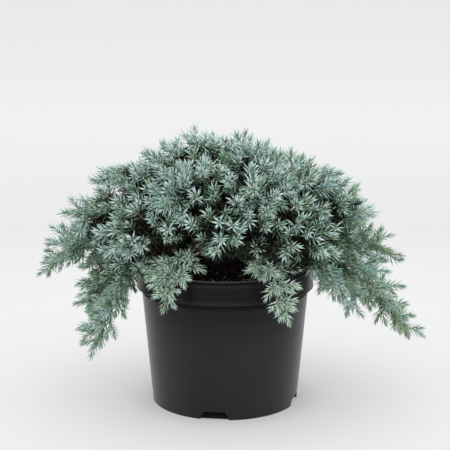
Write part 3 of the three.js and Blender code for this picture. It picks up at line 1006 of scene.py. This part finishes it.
for mass, tips in LEADING_TIPS.items():
    kind = "hanging" if mass.startswith("skirt") else "outer"
    for x, y, z, right, up in tips:
        heading = unit(np.array([right, -0.12, up]))
        growing.append((mass, np.array([x, y, z]) * MM, TO_FRONT, kind, heading))
for mass, tips in STAR_TIPS.items():
    for tip in tips:
        place = np.array(tip) * MM
        heading = unit(unit(TO_FRONT) + unit(place - STAR_HEART))
        growing.append((mass, place, unit(place - HEART), "outer", heading))
print("leading tips:", len(growing))

# %% [markdown]
# ## The other shoots of the dome
#
# Shoots end at random places on the dome that keep apart from each other and clear of the hollows.
# Three sparser layers below fill the crown, so that no sky shows through it. Where the dome turns away
# from the front, its shoots end a little lower, so that the leading tips draw the outline.

# %% Places on the dome
LAYERS = {  # depth below the dome, least gap between shoots, room by hollows, length that bears needles
    "outer": (0 * MM, 16.5 * MM, 11 * MM, (28 * MM, 42 * MM)),
    "second": (20 * MM, 18.5 * MM, 8 * MM, (22 * MM, 30 * MM)),
    "third": (40 * MM, 21 * MM, 0, (18 * MM, 26 * MM)),
    "inner": (66 * MM, 24 * MM, 0, (16 * MM, 22 * MM)),
}
OUTLINE_INSET = 7 * MM
OUTLINE_SPAN = 0.32  # cosine of the angle to the view up to which the dome is seen edge on
UNEVEN = (-7, 5)  # mm by which shoots end below or above the dome


def far_from_others(place, spacing, kind):
    others = np.array([item[1] for item in growing if item[3] == kind])
    return len(others) == 0 or np.linalg.norm(others - place, axis=1).min() > spacing


for kind, (depth, spacing, room, _) in LAYERS.items():
    for i in random.permutation(on_dome):
        inset = OUTLINE_INSET if abs(directions[i] @ LOOK_IN) < OUTLINE_SPAN else 0
        place = HEART + directions[i] * (dome_reach[i] - depth - inset)
        if far_from_others(place, spacing, kind) and room_by_hollows(place) > room:
            place = place + directions[i] * random.uniform(*UNEVEN) * MM
            owner = dome_owner[dome_tree.find_nearest(Vector(place))[2]]
            growing.append((DOME_NAMES[owner], place, directions[i], kind, None))
print("with the dome's:", len(growing))

# %% [markdown]
# ## The hanging limbs
#
# The lowest masses hang over the rim one by one, with sky between them. Here the surface of each
# mass says where its shoots end.

# %% Places on the hanging masses
HANGING_SPACING = 23 * MM
TRIES = 900


def surface_places(name, count):
    """Random places on a mass, even over its area, with the surface's outward direction there."""
    triangles = triangles_of("foliage_" + name)
    spans = np.cross(triangles[:, 1] - triangles[:, 0], triangles[:, 2] - triangles[:, 0])
    areas = np.linalg.norm(spans, axis=1)
    chosen = random.choice(len(areas), count, p=areas / areas.sum())
    u, v = random.random((2, count))
    flip = u + v > 1
    u[flip], v[flip] = 1 - u[flip], 1 - v[flip]
    first, second, third = np.moveaxis(triangles[chosen], 1, 0)
    places = first + u[:, None] * (second - first) + v[:, None] * (third - first)
    centre = triangles.reshape(-1, 3).mean(axis=0)
    return places, unit(0.5 * unit(spans)[chosen] + 0.5 * unit(places - centre))


for name in MASS_NAMES:
    if tier_of(name) == "skirt":
        for place, out in zip(*surface_places(name, TRIES)):
            if far_from_others(place, HANGING_SPACING, "hanging"):
                growing.append((name, place, out, "hanging", None))
print("with those on the hanging limbs:", len(growing))

# %% [markdown]
# ## The branching rule
#
# A leading shoot leaves its limb, curves out to its place and points away from the heart of the
# plant, or along its limb where the limb hangs. Side shoots leave it all round on the dome, and by
# turns left and right on the hanging limbs, like the bones of a fish, longer ones further back. Each
# shoot is kept as a line with the length of it that bears needles.

# %% Shoots
TWIG_RADIUS = {"limb": 0.9 * MM, "shoot": 0.75 * MM, "side": 0.5 * MM}
shoots = []


def add_shoot(mass, line, radius, leafy, order, shade, flat):
    shoots.append({"mass": mass, "line": line, "radius": radius, "leafy": leafy, "order": order,
                   "shade": shade, "flat": flat})


# %% Line of a side shoot
SIDE_ANGLE = math.radians(44)
ELBOW = 0.6  # share of its length where it bends


def side_line(foot, heading, side, length):
    """A short shoot that leaves its parent at SIDE_ANGLE and bends a little forward again."""
    angle = SIDE_ANGLE + random.normal(0, 0.12)
    away = unit(heading * math.cos(angle) + side * math.sin(angle))
    forward = unit(away + 0.45 * heading)
    elbow = foot + away * length * ELBOW
    return bezier(foot, foot + away * length * 0.35, elbow, elbow + forward * length * (1 - ELBOW), 8)


# %% [markdown]
# ## Dealing out the shades
#
# Every shoot gets one shade of needle by chance. The shoulders and the crown are the bluest, and the
# sprays over the front of the rim, which are youngest, the palest. Their pale shade is partly painted
# light, for light that the crown above keeps from them.

# %% Dealing out the shades
SHADES = ["blue", "silver", "teal", "sage", "pale", "fresh", "new", "shaded", "dull_painted_shade", "dead"]
NEW, SHADED, DULL_PAINTED_SHADE, DEAD = (SHADES.index(shade) for shade in ("new", "shaded", "dull_painted_shade", "dead"))
TIER_SHADES = {  # chance of each shade but the last four
    "crown": (0.34, 0.38, 0.18, 0.10, 0, 0),
    "shoulder": (0.34, 0.38, 0.18, 0.10, 0, 0),
    "side": (0.33, 0.26, 0.25, 0.13, 0.03, 0),
    "flank": (0.33, 0.28, 0.20, 0.15, 0.04, 0),
    "skirt": (0.14, 0.04, 0.40, 0.37, 0, 0.05),
    "skirt_front": (0, 0.12, 0, 0.12, 0.76, 0),
}


def deal_shade(mass):
    return int(random.choice(NEW, p=TIER_SHADES[tier_of(mass)]))


# %% [markdown]
# ## Side shoots
#
# Four habits cover all side shoots. On the dome they stand round their parent and stay off the
# hollows. The others lie flat: on the ends of limbs, where they are longest and branch again, on
# those long ones, and on the hanging shoots.

# %% Side shoots
# gap to the tip, step, length at the tip, growth with distance back, longest, and whether they lie flat
DOME_SIDES = (13.5 * MM, 12.5 * MM, 10 * MM, 0.30, 18 * MM, False)
SPRAY_SIDES = (12 * MM, 11 * MM, 9.5 * MM, 0.50, 27 * MM, True)
SMALL_SIDES = (12 * MM, 11 * MM, 10 * MM, 0.30, 13 * MM, True)
HANGING_SIDES = (12.5 * MM, 12.5 * MM, 8.5 * MM, 0.22, 14 * MM, True)
BRANCHED = 22 * MM  # flat side shoots longer than this have side shoots of their own
HOLLOW_ROOM = 7 * MM
OWN_SHADE = 0.7  # share of side shoots that keep their parent's shade

# %% Growing side shoots
def add_side_shoots(mass, line, leafy, outward, shade, order, habit):
    first, step, shortest, growth, longest, flat = habit
    total = lengths_along(line)[-1]
    back = first + random.uniform(0, 0.4) * step
    turn = random.uniform(0, math.tau)
    hand = random.choice([-1, 1])
    while back < leafy - 1 * MM:
        foot = at_lengths(line, [total - back])[0]
        ahead = at_lengths(line, [total - back + 2 * MM])[0]
        heading = unit(ahead - foot)
        across = unit(np.cross(heading, outward))
        raised = np.cross(across, heading)
        lift = random.normal(0.15, 0.35) if flat else turn
        side = unit((hand if flat else 1) * across * math.cos(lift) + raised * math.sin(lift))
        length = min(shortest + growth * back, longest) * random.uniform(0.8, 1.15)
        own_shade = shade if random.random() < OWN_SHADE else deal_shade(mass)
        own_line = side_line(foot, heading, side, length)
        if flat or room_by_hollows(own_line[-1]) > HOLLOW_ROOM:
            add_shoot(mass, own_line, TWIG_RADIUS["side"], length - 1 * MM, order, own_shade, flat)
            if flat and length > BRANCHED:
                add_side_shoots(mass, own_line, length * 0.9, outward, own_shade, order + 1, SMALL_SIDES)
        turn += GOLDEN_TURN
        hand = -hand
        back += step * random.uniform(0.8, 1.25)


# %% [markdown]
# ## Growing the shoots
#
# First the ends of the limbs themselves grow, then a shoot for each place, from the point of its limb
# that is near, but not too near, and lies well behind it.

# %% Ends of the limbs
DOME_LEAFY = 60 * MM  # the most of a limb that bears needles on the dome


def grow_limb_end(mass):
    hanging = mass.startswith("skirt")
    limb = limb_lines[mass][:-2] if hanging else limb_lines[mass]
    length = lengths_along(limb)[-1]
    leafy = length * 0.85 if hanging else min(length * 0.8, DOME_LEAFY)
    shade = deal_shade(mass)
    add_shoot(mass, limb, TWIG_RADIUS["limb"], leafy, 0, shade, hanging)
    if tier_of(mass) != "skirt_front":
        add_side_shoots(mass, limb, leafy, np.array([0, 0, 1.0]), shade, 1, SPRAY_SIDES)


# %% Where a shoot starts and how it points
TIP_NEEDLES = 7.5 * MM  # the needles at a shoot's end reach this far past it
SPRAY_NEEDLES = 6 * MM  # and those at a hanging shoot's end this far
HABIT = {  # how far shoots lean off the surface, along their limb, and up
    "crown": (0.9, 0.10, 0.10),
    "shoulder": (0.9, 0.15, 0.10),
    "side": (0.9, 0.25, 0.05),
    "skirt": (0.35, 0.85, -0.05),
}
SHOOT_REACH = 40 * MM
TOO_CLOSE = 14 * MM


def start_on_limb(mass, place, heading):
    """The point of the mass's limb to start from: near the place and behind it, but not too close."""
    behind = limb_lines[mass][:-4]
    offset = place - behind
    reach = np.linalg.norm(offset, axis=1)
    lean = (offset @ heading) / reach
    cost = reach / SHOOT_REACH + 1.6 * (1 - lean) + 2.0 * (reach < TOO_CLOSE)
    return behind[cost.argmin()]


def free_heading(mass, outward, kind):
    """The way a shoot points when nothing sets it: by its tier's habit, with some chance."""
    limb = limb_lines[mass]
    off_surface, along_limb, upward = HABIT[mass.split("_")[0]]
    lean = outward * off_surface + unit(limb[-1] - limb[0]) * along_limb + np.array([0, 0, upward])
    return unit(lean + random.normal(0, 0.14 if kind == "hanging" else 0.24, 3))


# %% Growing the shoots
SHOOT_STEP = 3 * MM


def grow_shoot(mass, place, outward, kind, heading):
    if heading is None:
        heading = free_heading(mass, outward, kind)
        end = place - unit(outward) * SHOOT_INSET
    else:
        end = place - heading * (SPRAY_NEEDLES if kind == "hanging" else TIP_NEEDLES)
    start = start_on_limb(mass, end, heading)
    reach = np.linalg.norm(end - start)
    limb = limb_lines[mass]
    early = unit(end - start + 0.5 * reach * unit(limb[-1] - limb[0]))
    curve = bezier(start, start + early * 0.35 * reach, end - heading * 0.45 * reach, end)
    line = evenly(curve, SHOOT_STEP)
    shade = deal_shade(mass)
    length = lengths_along(line)[-1]
    hanging = kind == "hanging"
    leafy = length * 0.95 if hanging else min(length * 0.92, random.uniform(*LAYERS[kind][3]))
    add_shoot(mass, line, TWIG_RADIUS["shoot"], leafy, 0, shade, hanging)
    if kind in ("outer", "second", "hanging"):
        add_side_shoots(mass, line, leafy, outward, shade, 1, HANGING_SIDES if hanging else DOME_SIDES)


for name in MASS_NAMES:
    grow_limb_end(name)
for item in growing:
    grow_shoot(*item)
print("shoots:", len(shoots))

# %% [markdown]
# ## Old shoots on the boughs
#
# Deep inside, the boughs keep short old shoots, most in the near-black dull shade, which is painted
# shade, and some dead. They are what makes the inside of the crown dark and hides the wood.

# %% Old shoots
OLD_STEP = 6 * MM
OLD_STEP_ON_STEM = 3 * MM
OLD_LENGTH = (13, 21)  # mm
DEAD_CHANCE = 0.08
OLD_ON_LIMB = {"dome": 14, "skirt": 2}  # points of the limb, from its bough, that bear old shoots


def add_old_shoots(mass, line):
    for foot, slope in zip(line, headings_of(line)):
        side = unit(np.cross(slope, random.normal(0, 1, 3)))
        length = random.uniform(*OLD_LENGTH) * MM
        # the dull shade is a near-black painted shade
        shade = DEAD if random.random() < DEAD_CHANCE else DULL_PAINTED_SHADE
        old = side_line(foot, slope, side, length)
        add_shoot(mass, old, TWIG_RADIUS["side"], length * 0.85, 2, shade, False)


for name in MASS_NAMES:
    limb_end = OLD_ON_LIMB["skirt" if name.startswith("skirt") else "dome"]
    old_wood = np.vstack([bough_lines[name][0][1:], limb_lines[name][1:limb_end]])
    add_old_shoots(name, evenly(old_wood, OLD_STEP))
for mass in ("side_front", "side_front_left", "side_front_right"):
    add_old_shoots(mass, evenly(stem_line[1:10], OLD_STEP_ON_STEM))
print("with the old ones:", len(shoots))

# %% [markdown]
# ## Needles on the shoots
#
# Needles stand in rings of three, each ring turned against the last. They spread wide on the shoot's
# length and draw together over its end. Their flat, waxy side faces the shoot's tip, so a shoot seen
# from its end is a pale star. The youngest ones, at the very tip, are yellower. Three habits vary
# this: stars and plumes on the dome, and slimmer sprays where a shoot lies flat.

# %% Needles
# length, width, share of that length at the tip, degrees of spread at the tip and behind, and how far
# behind the tip the full spread is reached
NEEDLE_HABITS = {
    "star": (12.0 * MM, 1.52 * MM, 0.80, 26, 58, 5 * MM),
    "plume": (11.0 * MM, 1.46 * MM, 0.75, 14, 46, 7 * MM),
    "spray": (10.4 * MM, 1.48 * MM, 0.66, 15, 48, 7 * MM),
}
WHORL = {"star": 2.5 * MM, "plume": 2.4 * MM, "spray": 2.8 * MM}  # between rings of needles
TIP_RINGS = np.array([0.0, 1.6, 3.8]) * MM
FULL_LENGTH = 8 * MM  # how far behind the tip needles reach their full length
PLUME_SHARE = 0.35
NEW_SHARE = {"star": 0.2, "plume": 0.25, "spray": 0.6}
needles = {name: [] for name in MASS_NAMES}


def ring_places(leafy, step):
    """How far behind the shoot's end each ring of needles stands."""
    rest = np.arange(TIP_RINGS[-1] + step, leafy, step)
    return np.concatenate([TIP_RINGS[TIP_RINGS < max(leafy, 3 * MM)], rest])


# %% Rings of needles
def add_needles(shoot, back, shade, spread, size, width):
    line = shoot["line"]
    total = lengths_along(line)[-1]
    back = np.minimum(back, total)
    feet = at_lengths(line, total - back)
    run = lengths_along(line)
    slopes = headings_of(line)
    heading = unit(np.stack([np.interp(total - back, run, slopes[:, axis]) for axis in range(3)], axis=1))
    side = sides_of(heading)
    other = np.cross(heading, side)
    count = len(back)
    turn = random.uniform(0, math.tau) + np.arange(count) * math.pi / 3
    turns = turn[:, None] + np.arange(3) * math.tau / 3 + random.normal(0, 0.16, (count, 3))
    spreads = spread[:, None] + random.normal(0, 0.10, (count, 3))
    radial = side[:, None] * np.cos(turns)[..., None] + other[:, None] * np.sin(turns)[..., None]
    ahead = heading[:, None] * np.ones((1, 3, 1))
    direction = ahead * np.cos(spreads)[..., None] + radial * np.sin(spreads)[..., None]
    upper = ahead * np.sin(spreads)[..., None] - radial * np.cos(spreads)[..., None]
    length = size[:, None] * random.normal(1, 0.09, (count, 3))
    needles[shoot["mass"]].append({
        "foot": (feet[:, None] + radial * shoot["radius"] * 0.5).reshape(-1, 3),
        "heading": direction.reshape(-1, 3),
        "up": upper.reshape(-1, 3),
        "length": length.reshape(-1),
        "width": (width * random.normal(1, 0.08, (count, 3))).reshape(-1),
        "shade": np.repeat(shade, 3),
    })


# %% [markdown]
# ## Shades by depth
#
# Needles that stand deep in the crown get little light. Real ones lose their bloom, then their green,
# and at last they die and hang on brown. Here they are painted darker by their depth below the dome:
# the shaded and the near-black dull shades are painted shade, and the dead one is the brown of dead
# needles.

# %% Shades by depth
dome_lookup = KDTree(len(on_dome))
for i in on_dome:
    dome_lookup.insert(directions[i], int(i))
dome_lookup.balance()
# mm below the dome where a tier's needles turn to the shaded and to the dull shade, both painted shade
DIM_DEPTHS = {
    "crown": (22, 28), "shoulder": (25, 31), "side": (14, 20), "flank": (23, 31), "skirt": (38, 57),
    "skirt_front": (66, 80),
}
DEAD_DEPTH = 40 * MM
DEAD_SHARE = 0.15
UNEVEN_DEPTH = 2.5 * MM

# %% Depth below the dome
def depth_below_dome(place):
    offset = place - HEART
    distance = np.linalg.norm(offset)
    _, nearest, _ = dome_lookup.find(Vector(offset / distance))
    return dome_reach[nearest] - distance


def painted_shade_by_depth(shoot, back):
    """Each ring's shade: the shoot's own near the light, painted shade below, and dead in the dark."""
    shades = np.full(len(back), shoot["shade"])
    feet = at_lengths(shoot["line"], lengths_along(shoot["line"])[-1] - back)
    depths = np.array([depth_below_dome(foot) for foot in feet])
    depths += random.normal(0, UNEVEN_DEPTH, len(back))
    shaded_depth, dull_painted_shade_depth = DIM_DEPTHS[tier_of(shoot["mass"])]
    shades[(depths > shaded_depth * MM) & (shades < SHADED)] = SHADED
    shades[(depths > dull_painted_shade_depth * MM) & (shades < DULL_PAINTED_SHADE)] = DULL_PAINTED_SHADE
    if random.random() < DEAD_SHARE:
        shades[(depths > DEAD_DEPTH) & (shades == DULL_PAINTED_SHADE)] = DEAD
    return shades


# %% Growing the needles
for shoot in shoots:
    kind = "spray" if shoot["flat"] else "plume" if random.random() < PLUME_SHARE else "star"
    length, width, tip_share, closed, wide, closing = NEEDLE_HABITS[kind]
    back = ring_places(shoot["leafy"], WHORL[kind])
    opening = np.clip(back / closing, 0, 1)
    spread = np.radians(closed + (wide - closed) * opening * (2 - opening))
    size = length * (tip_share + (1 - tip_share) * np.clip(back / FULL_LENGTH, 0, 1))
    shades = painted_shade_by_depth(shoot, back)
    if random.random() < NEW_SHARE[kind] and shades[0] < SHADED:
        shades[0] = NEW
    add_needles(shoot, back, shades, spread, size, width)

# %% Sparse needles behind the leafy length
BARE_LENGTH = 8 * MM
SPARSE_STEP = 6 * MM
SPARSE_SPREAD = math.radians(75)
SPARSE_NEEDLE = 7 * MM

for shoot in shoots:
    bare = lengths_along(shoot["line"])[-1] - shoot["leafy"]
    if shoot["order"] == 0 and bare > BARE_LENGTH:
        back = shoot["leafy"] + np.arange(0, bare, SPARSE_STEP)
        # the dull shade is a near-black painted shade
        shade = DEAD if random.random() < DEAD_SHARE else DULL_PAINTED_SHADE
        rings = np.ones(len(back))
        add_needles(shoot, back, shade * rings, SPARSE_SPREAD * rings, SPARSE_NEEDLE * rings, 1.4 * MM)

# %% [markdown]
# ## Needle finishes
#
# The wax bloom that gives this juniper its name varies from shoot to shoot, so several shades are
# dealt out, shoot by shoot. Each has a pale waxy upper side and a greener keel. They are plain
# colours: on blades this small, a pattern would never be seen.

# %% Needle finishes
NEEDLE_COLORS = {
    "blue": ((0.60, 0.80, 0.76), (0.36, 0.535, 0.475)),
    "silver": ((0.62, 0.79, 0.76), (0.43, 0.60, 0.55)),
    "teal": ((0.50, 0.69, 0.635), (0.23, 0.39, 0.33)),
    "sage": ((0.48, 0.66, 0.55), (0.235, 0.385, 0.275)),
    # partly the young sprays' own paler colour, made paler still, keel too, as painted light
    "pale": ((0.70, 0.90, 0.79), (0.60, 0.80, 0.65)),
    "fresh": ((0.47, 0.63, 0.47), (0.31, 0.44, 0.29)),
    "new": ((0.56, 0.71, 0.55), (0.35, 0.48, 0.32)),
    # painted shade for needles below the outer layer
    "shaded": ((0.27, 0.40, 0.315), (0.14, 0.24, 0.155)),
    # near-black painted shade for needles deep in the crown
    "dull_painted_shade": ((0.020, 0.032, 0.018), (0.009, 0.014, 0.008)),
    "dead": ((0.13, 0.054, 0.022), (0.06, 0.025, 0.011)),
}
needle_finishes = []
for shade, sides in NEEDLE_COLORS.items():
    for side, color in zip(("wax", "keel"), sides):
        needle_finishes.append(finish(f"needle_{shade}_{side}", color, 0.5, Specular_IOR_Level=0.3)[0])

# %% Needle pieces
needle_total = 0
for name in MASS_NAMES:
    joined = {key: np.concatenate([part[key] for part in needles[name]]) for key in needles[name][0]}
    mesh = blade_mesh("needles_" + name, joined)
    add_piece("needles_" + name, mesh, ["foliage_" + name], needle_finishes)
    needle_total += len(joined["length"])
print("needles:", needle_total)

# %% [markdown]
# ## Twigs
#
# Under the needles runs a thin twig: yellow-green where it is young, brown where it has ripened to
# wood. Each is a tapering tube closed at both ends. Curves with a bevel would give the same, but a
# twig is only a millimetre thick and half hidden, so four sides and plain arrays are enough.

# %% Twig tubes
TWIG_SIDES = 4


def tube_arrays(line, radii):
    """Points, quads and end faces of a tube along a line."""
    slopes = headings_of(line)
    side = sides_of(slopes)
    other = np.cross(slopes, side)
    turns = np.arange(TWIG_SIDES) * math.tau / TWIG_SIDES
    ring = side[:, None] * np.cos(turns)[None, :, None] + other[:, None] * np.sin(turns)[None, :, None]
    points = (line[:, None] + ring * radii[:, None, None]).reshape(-1, 3)
    rows, around = np.arange(len(line) - 1)[:, None], np.arange(TWIG_SIDES)[None]
    following = (around + 1) % TWIG_SIDES
    quads = np.stack([rows * TWIG_SIDES + around, rows * TWIG_SIDES + following,
                      (rows + 1) * TWIG_SIDES + following, (rows + 1) * TWIG_SIDES + around], axis=-1)
    last = (len(line) - 1) * TWIG_SIDES
    ends = np.array([np.arange(TWIG_SIDES)[::-1], last + np.arange(TWIG_SIDES)])
    return points, np.concatenate([quads.reshape(-1, 4), ends])


def twig_mesh(name, twigs):
    points, faces, shades, first = [], [], [], 0
    for line, radii, shade in twigs:
        tube_points, tube_faces = tube_arrays(line, radii)
        points.append(tube_points)
        faces.append(tube_faces + first)
        shades.append(np.full(len(tube_faces), shade))
        first += len(tube_points)
    return join_mesh(name, np.concatenate(points), [np.concatenate(faces)], [np.concatenate(shades)])


# %% Twigs
TWIG_STEP = 5 * MM
TWIG_TAPER = 0.55
YOUNG_SHARE = 0.7  # of the length that bears needles
green_twigs, woody_twigs = [], []
for shoot in shoots:
    line = evenly(shoot["line"], TWIG_STEP)
    run = lengths_along(line)
    radii = shoot["radius"] * (1.0 - TWIG_TAPER * run / run[-1])
    young = run > run[-1] - shoot["leafy"] * YOUNG_SHARE
    split = int(np.argmax(young))
    if split > 1:
        woody_twigs.append((line[:split + 1], radii[:split + 1], int(random.integers(0, 2))))
    start = split if split > 1 else 0
    if len(line) - start >= 2:
        green_twigs.append((line[start:], radii[start:], int(random.integers(0, 2))))

# %% Twig pieces
green_bark = [finish("young_twig_green", (0.40, 0.46, 0.17), 0.55)[0],
              finish("young_twig_yellow", (0.50, 0.48, 0.18), 0.55)[0]]
brown_bark = [finish("ripe_twig_brown", (0.05, 0.026, 0.014), 0.7)[0],
              finish("ripe_twig_red", (0.09, 0.036, 0.018), 0.7)[0]]
add_piece("twigs_young", twig_mesh("twigs_young", green_twigs), [], green_bark)
add_piece("twigs_ripe", twig_mesh("twigs_ripe", woody_twigs), [], brown_bark)

# %% [markdown]
# ## Stem and boughs
#
# The wood is made limb by limb: a ring of corners is set at the foot and its cap extruded from one
# cut of the centre line to the next, while noise along the grain raises the bark into strips. The
# boughs reach into the stem at one end and on through their foliage at the other. A bevelled curve
# would be quicker, but its skin would be smooth and evenly round.

# %% Relief of the bark
BARK_RELIEF = 0.13
STRIPS_AROUND = 2.2
STRIP_LENGTH = 18 * MM
FLAKE_SIZE = 2.6 * MM


def bark_swell(place, angle):
    """How far the bark stands out at a place, in long narrow strips."""
    around = (math.cos(angle) * STRIPS_AROUND, math.sin(angle) * STRIPS_AROUND)
    strips = noise.noise(Vector((*around, place.z / STRIP_LENGTH + place.x * 40)))
    flakes = noise.noise(Vector(place) / FLAKE_SIZE)
    return 1 + BARK_RELIEF * (strips + 0.6 * flakes)


# %% Growing a limb
BARK_STEP = 2 * MM


def grow_limb(bm, line, radii, sides):
    """Extrudes a closed limb along a line, ring by ring."""
    slopes = headings_of(line)
    side = sides_of(slopes)
    other = np.cross(slopes, side)
    cap_corners = bmesh.ops.create_circle(bm, cap_ends=True, segments=sides, radius=1)["verts"]
    cap = cap_corners[0].link_faces[0]
    cap.normal_flip()
    for step in range(len(line)):
        if step > 0:
            made = bmesh.ops.extrude_face_region(bm, geom=[cap])
            if step > 1:
                bmesh.ops.delete(bm, geom=[cap], context="FACES_ONLY")
            cap = next(item for item in made["geom"] if isinstance(item, bmesh.types.BMFace))
        for number, corner in enumerate(cap.verts):
            angle = -math.tau * number / sides
            radial = side[step] * math.cos(angle) + other[step] * math.sin(angle)
            swell = bark_swell(Vector(line[step]) + Vector(radial) * radii[step], angle)
            corner.co = Vector(line[step] + radial * radii[step] * swell)


def wood_piece(name, limbs, sides, replaced):
    """One piece from limbs given as lines and radii, each cut again at even steps."""
    bm = bmesh.new()
    for line, radii in limbs:
        run = lengths_along(line)
        even = np.linspace(0, run[-1], int(run[-1] / BARK_STEP))
        grow_limb(bm, at_lengths(line, even), np.interp(even, run, radii), sides)
    bmesh.ops.recalc_face_normals(bm, faces=bm.faces[:])
    return add_piece(name, mesh_of(name, bm), replaced, [])


# %% Boughs
BOUGH_SIDES = 10
INTO_STEM = 3.5 * MM
LIMB_END = 0.8 * MM  # radius


def whole_limb(name):
    """A bough from inside the stem, and on through two thirds of its mass."""
    line, radii = bough_lines[name]
    inward = unit(line[0] - line[2]) * INTO_STEM
    through = limb_lines[name][1:16]
    thin = np.linspace(radii[-1], LIMB_END, len(through))
    return np.vstack([line[0] + inward, line, through]), np.concatenate([radii[:1] * 1.25, radii, thin])


boughs = wood_piece("boughs", [whole_limb(name) for name in MASS_NAMES], BOUGH_SIDES,
                    ["bough_" + name for name in MASS_NAMES])

# %% Stem
STEM_SIDES = 28

stem_base = (stem_line[0][0], stem_line[0][1], stem_low.z)
whole_stem = np.vstack([stem_base, stem_line, stem_line[-1] + (0, 0, 4 * MM)])
whole_radii = np.concatenate([[stem_radii[0] * 1.3], stem_radii, [stem_radii[-1] * 0.6]])
stem = wood_piece("stem_wood", [(whole_stem, whole_radii)], STEM_SIDES, ["stem"])

# %% [markdown]
# ## Bark
#
# Thin red-brown bark that peels in narrow strips, darker in the cracks and paler where it has
# weathered. A noise stretched along the limb gives the strips their colours through a ramp, and a
# finer one lifts them as a bump. The stem's bark is painted darker than the boughs': painted shade.

# %% Bark
BOUGH_TONES = [(0.30, (0.016, 0.008, 0.005)), (0.52, (0.055, 0.024, 0.014)), (0.72, (0.110, 0.058, 0.034))]
# the stem's tones are darker than the boughs': painted shade
STEM_PAINTED_SHADE_TONES = [(0.30, (0.012, 0.007, 0.005)), (0.52, (0.034, 0.017, 0.010)), (0.72, (0.075, 0.042, 0.026))]

for piece, name, tones in ((boughs, "bough_bark", BOUGH_TONES), (stem, "stem_bark", STEM_PAINTED_SHADE_TONES)):
    bark, bark_shader = finish(name, tones[1][1], 0.85)
    bark_color = add_ramp(bark, add_noise(bark, 420, detail=6, stretch=(1, 1, 0.3)), tones)
    feed(bark_shader, "Base Color", bark_color)
    add_bump(bark_shader, add_noise(bark, 900, detail=5, stretch=(1, 1, 0.25)), 0.5 * MM)
    piece.data.materials.append(bark)
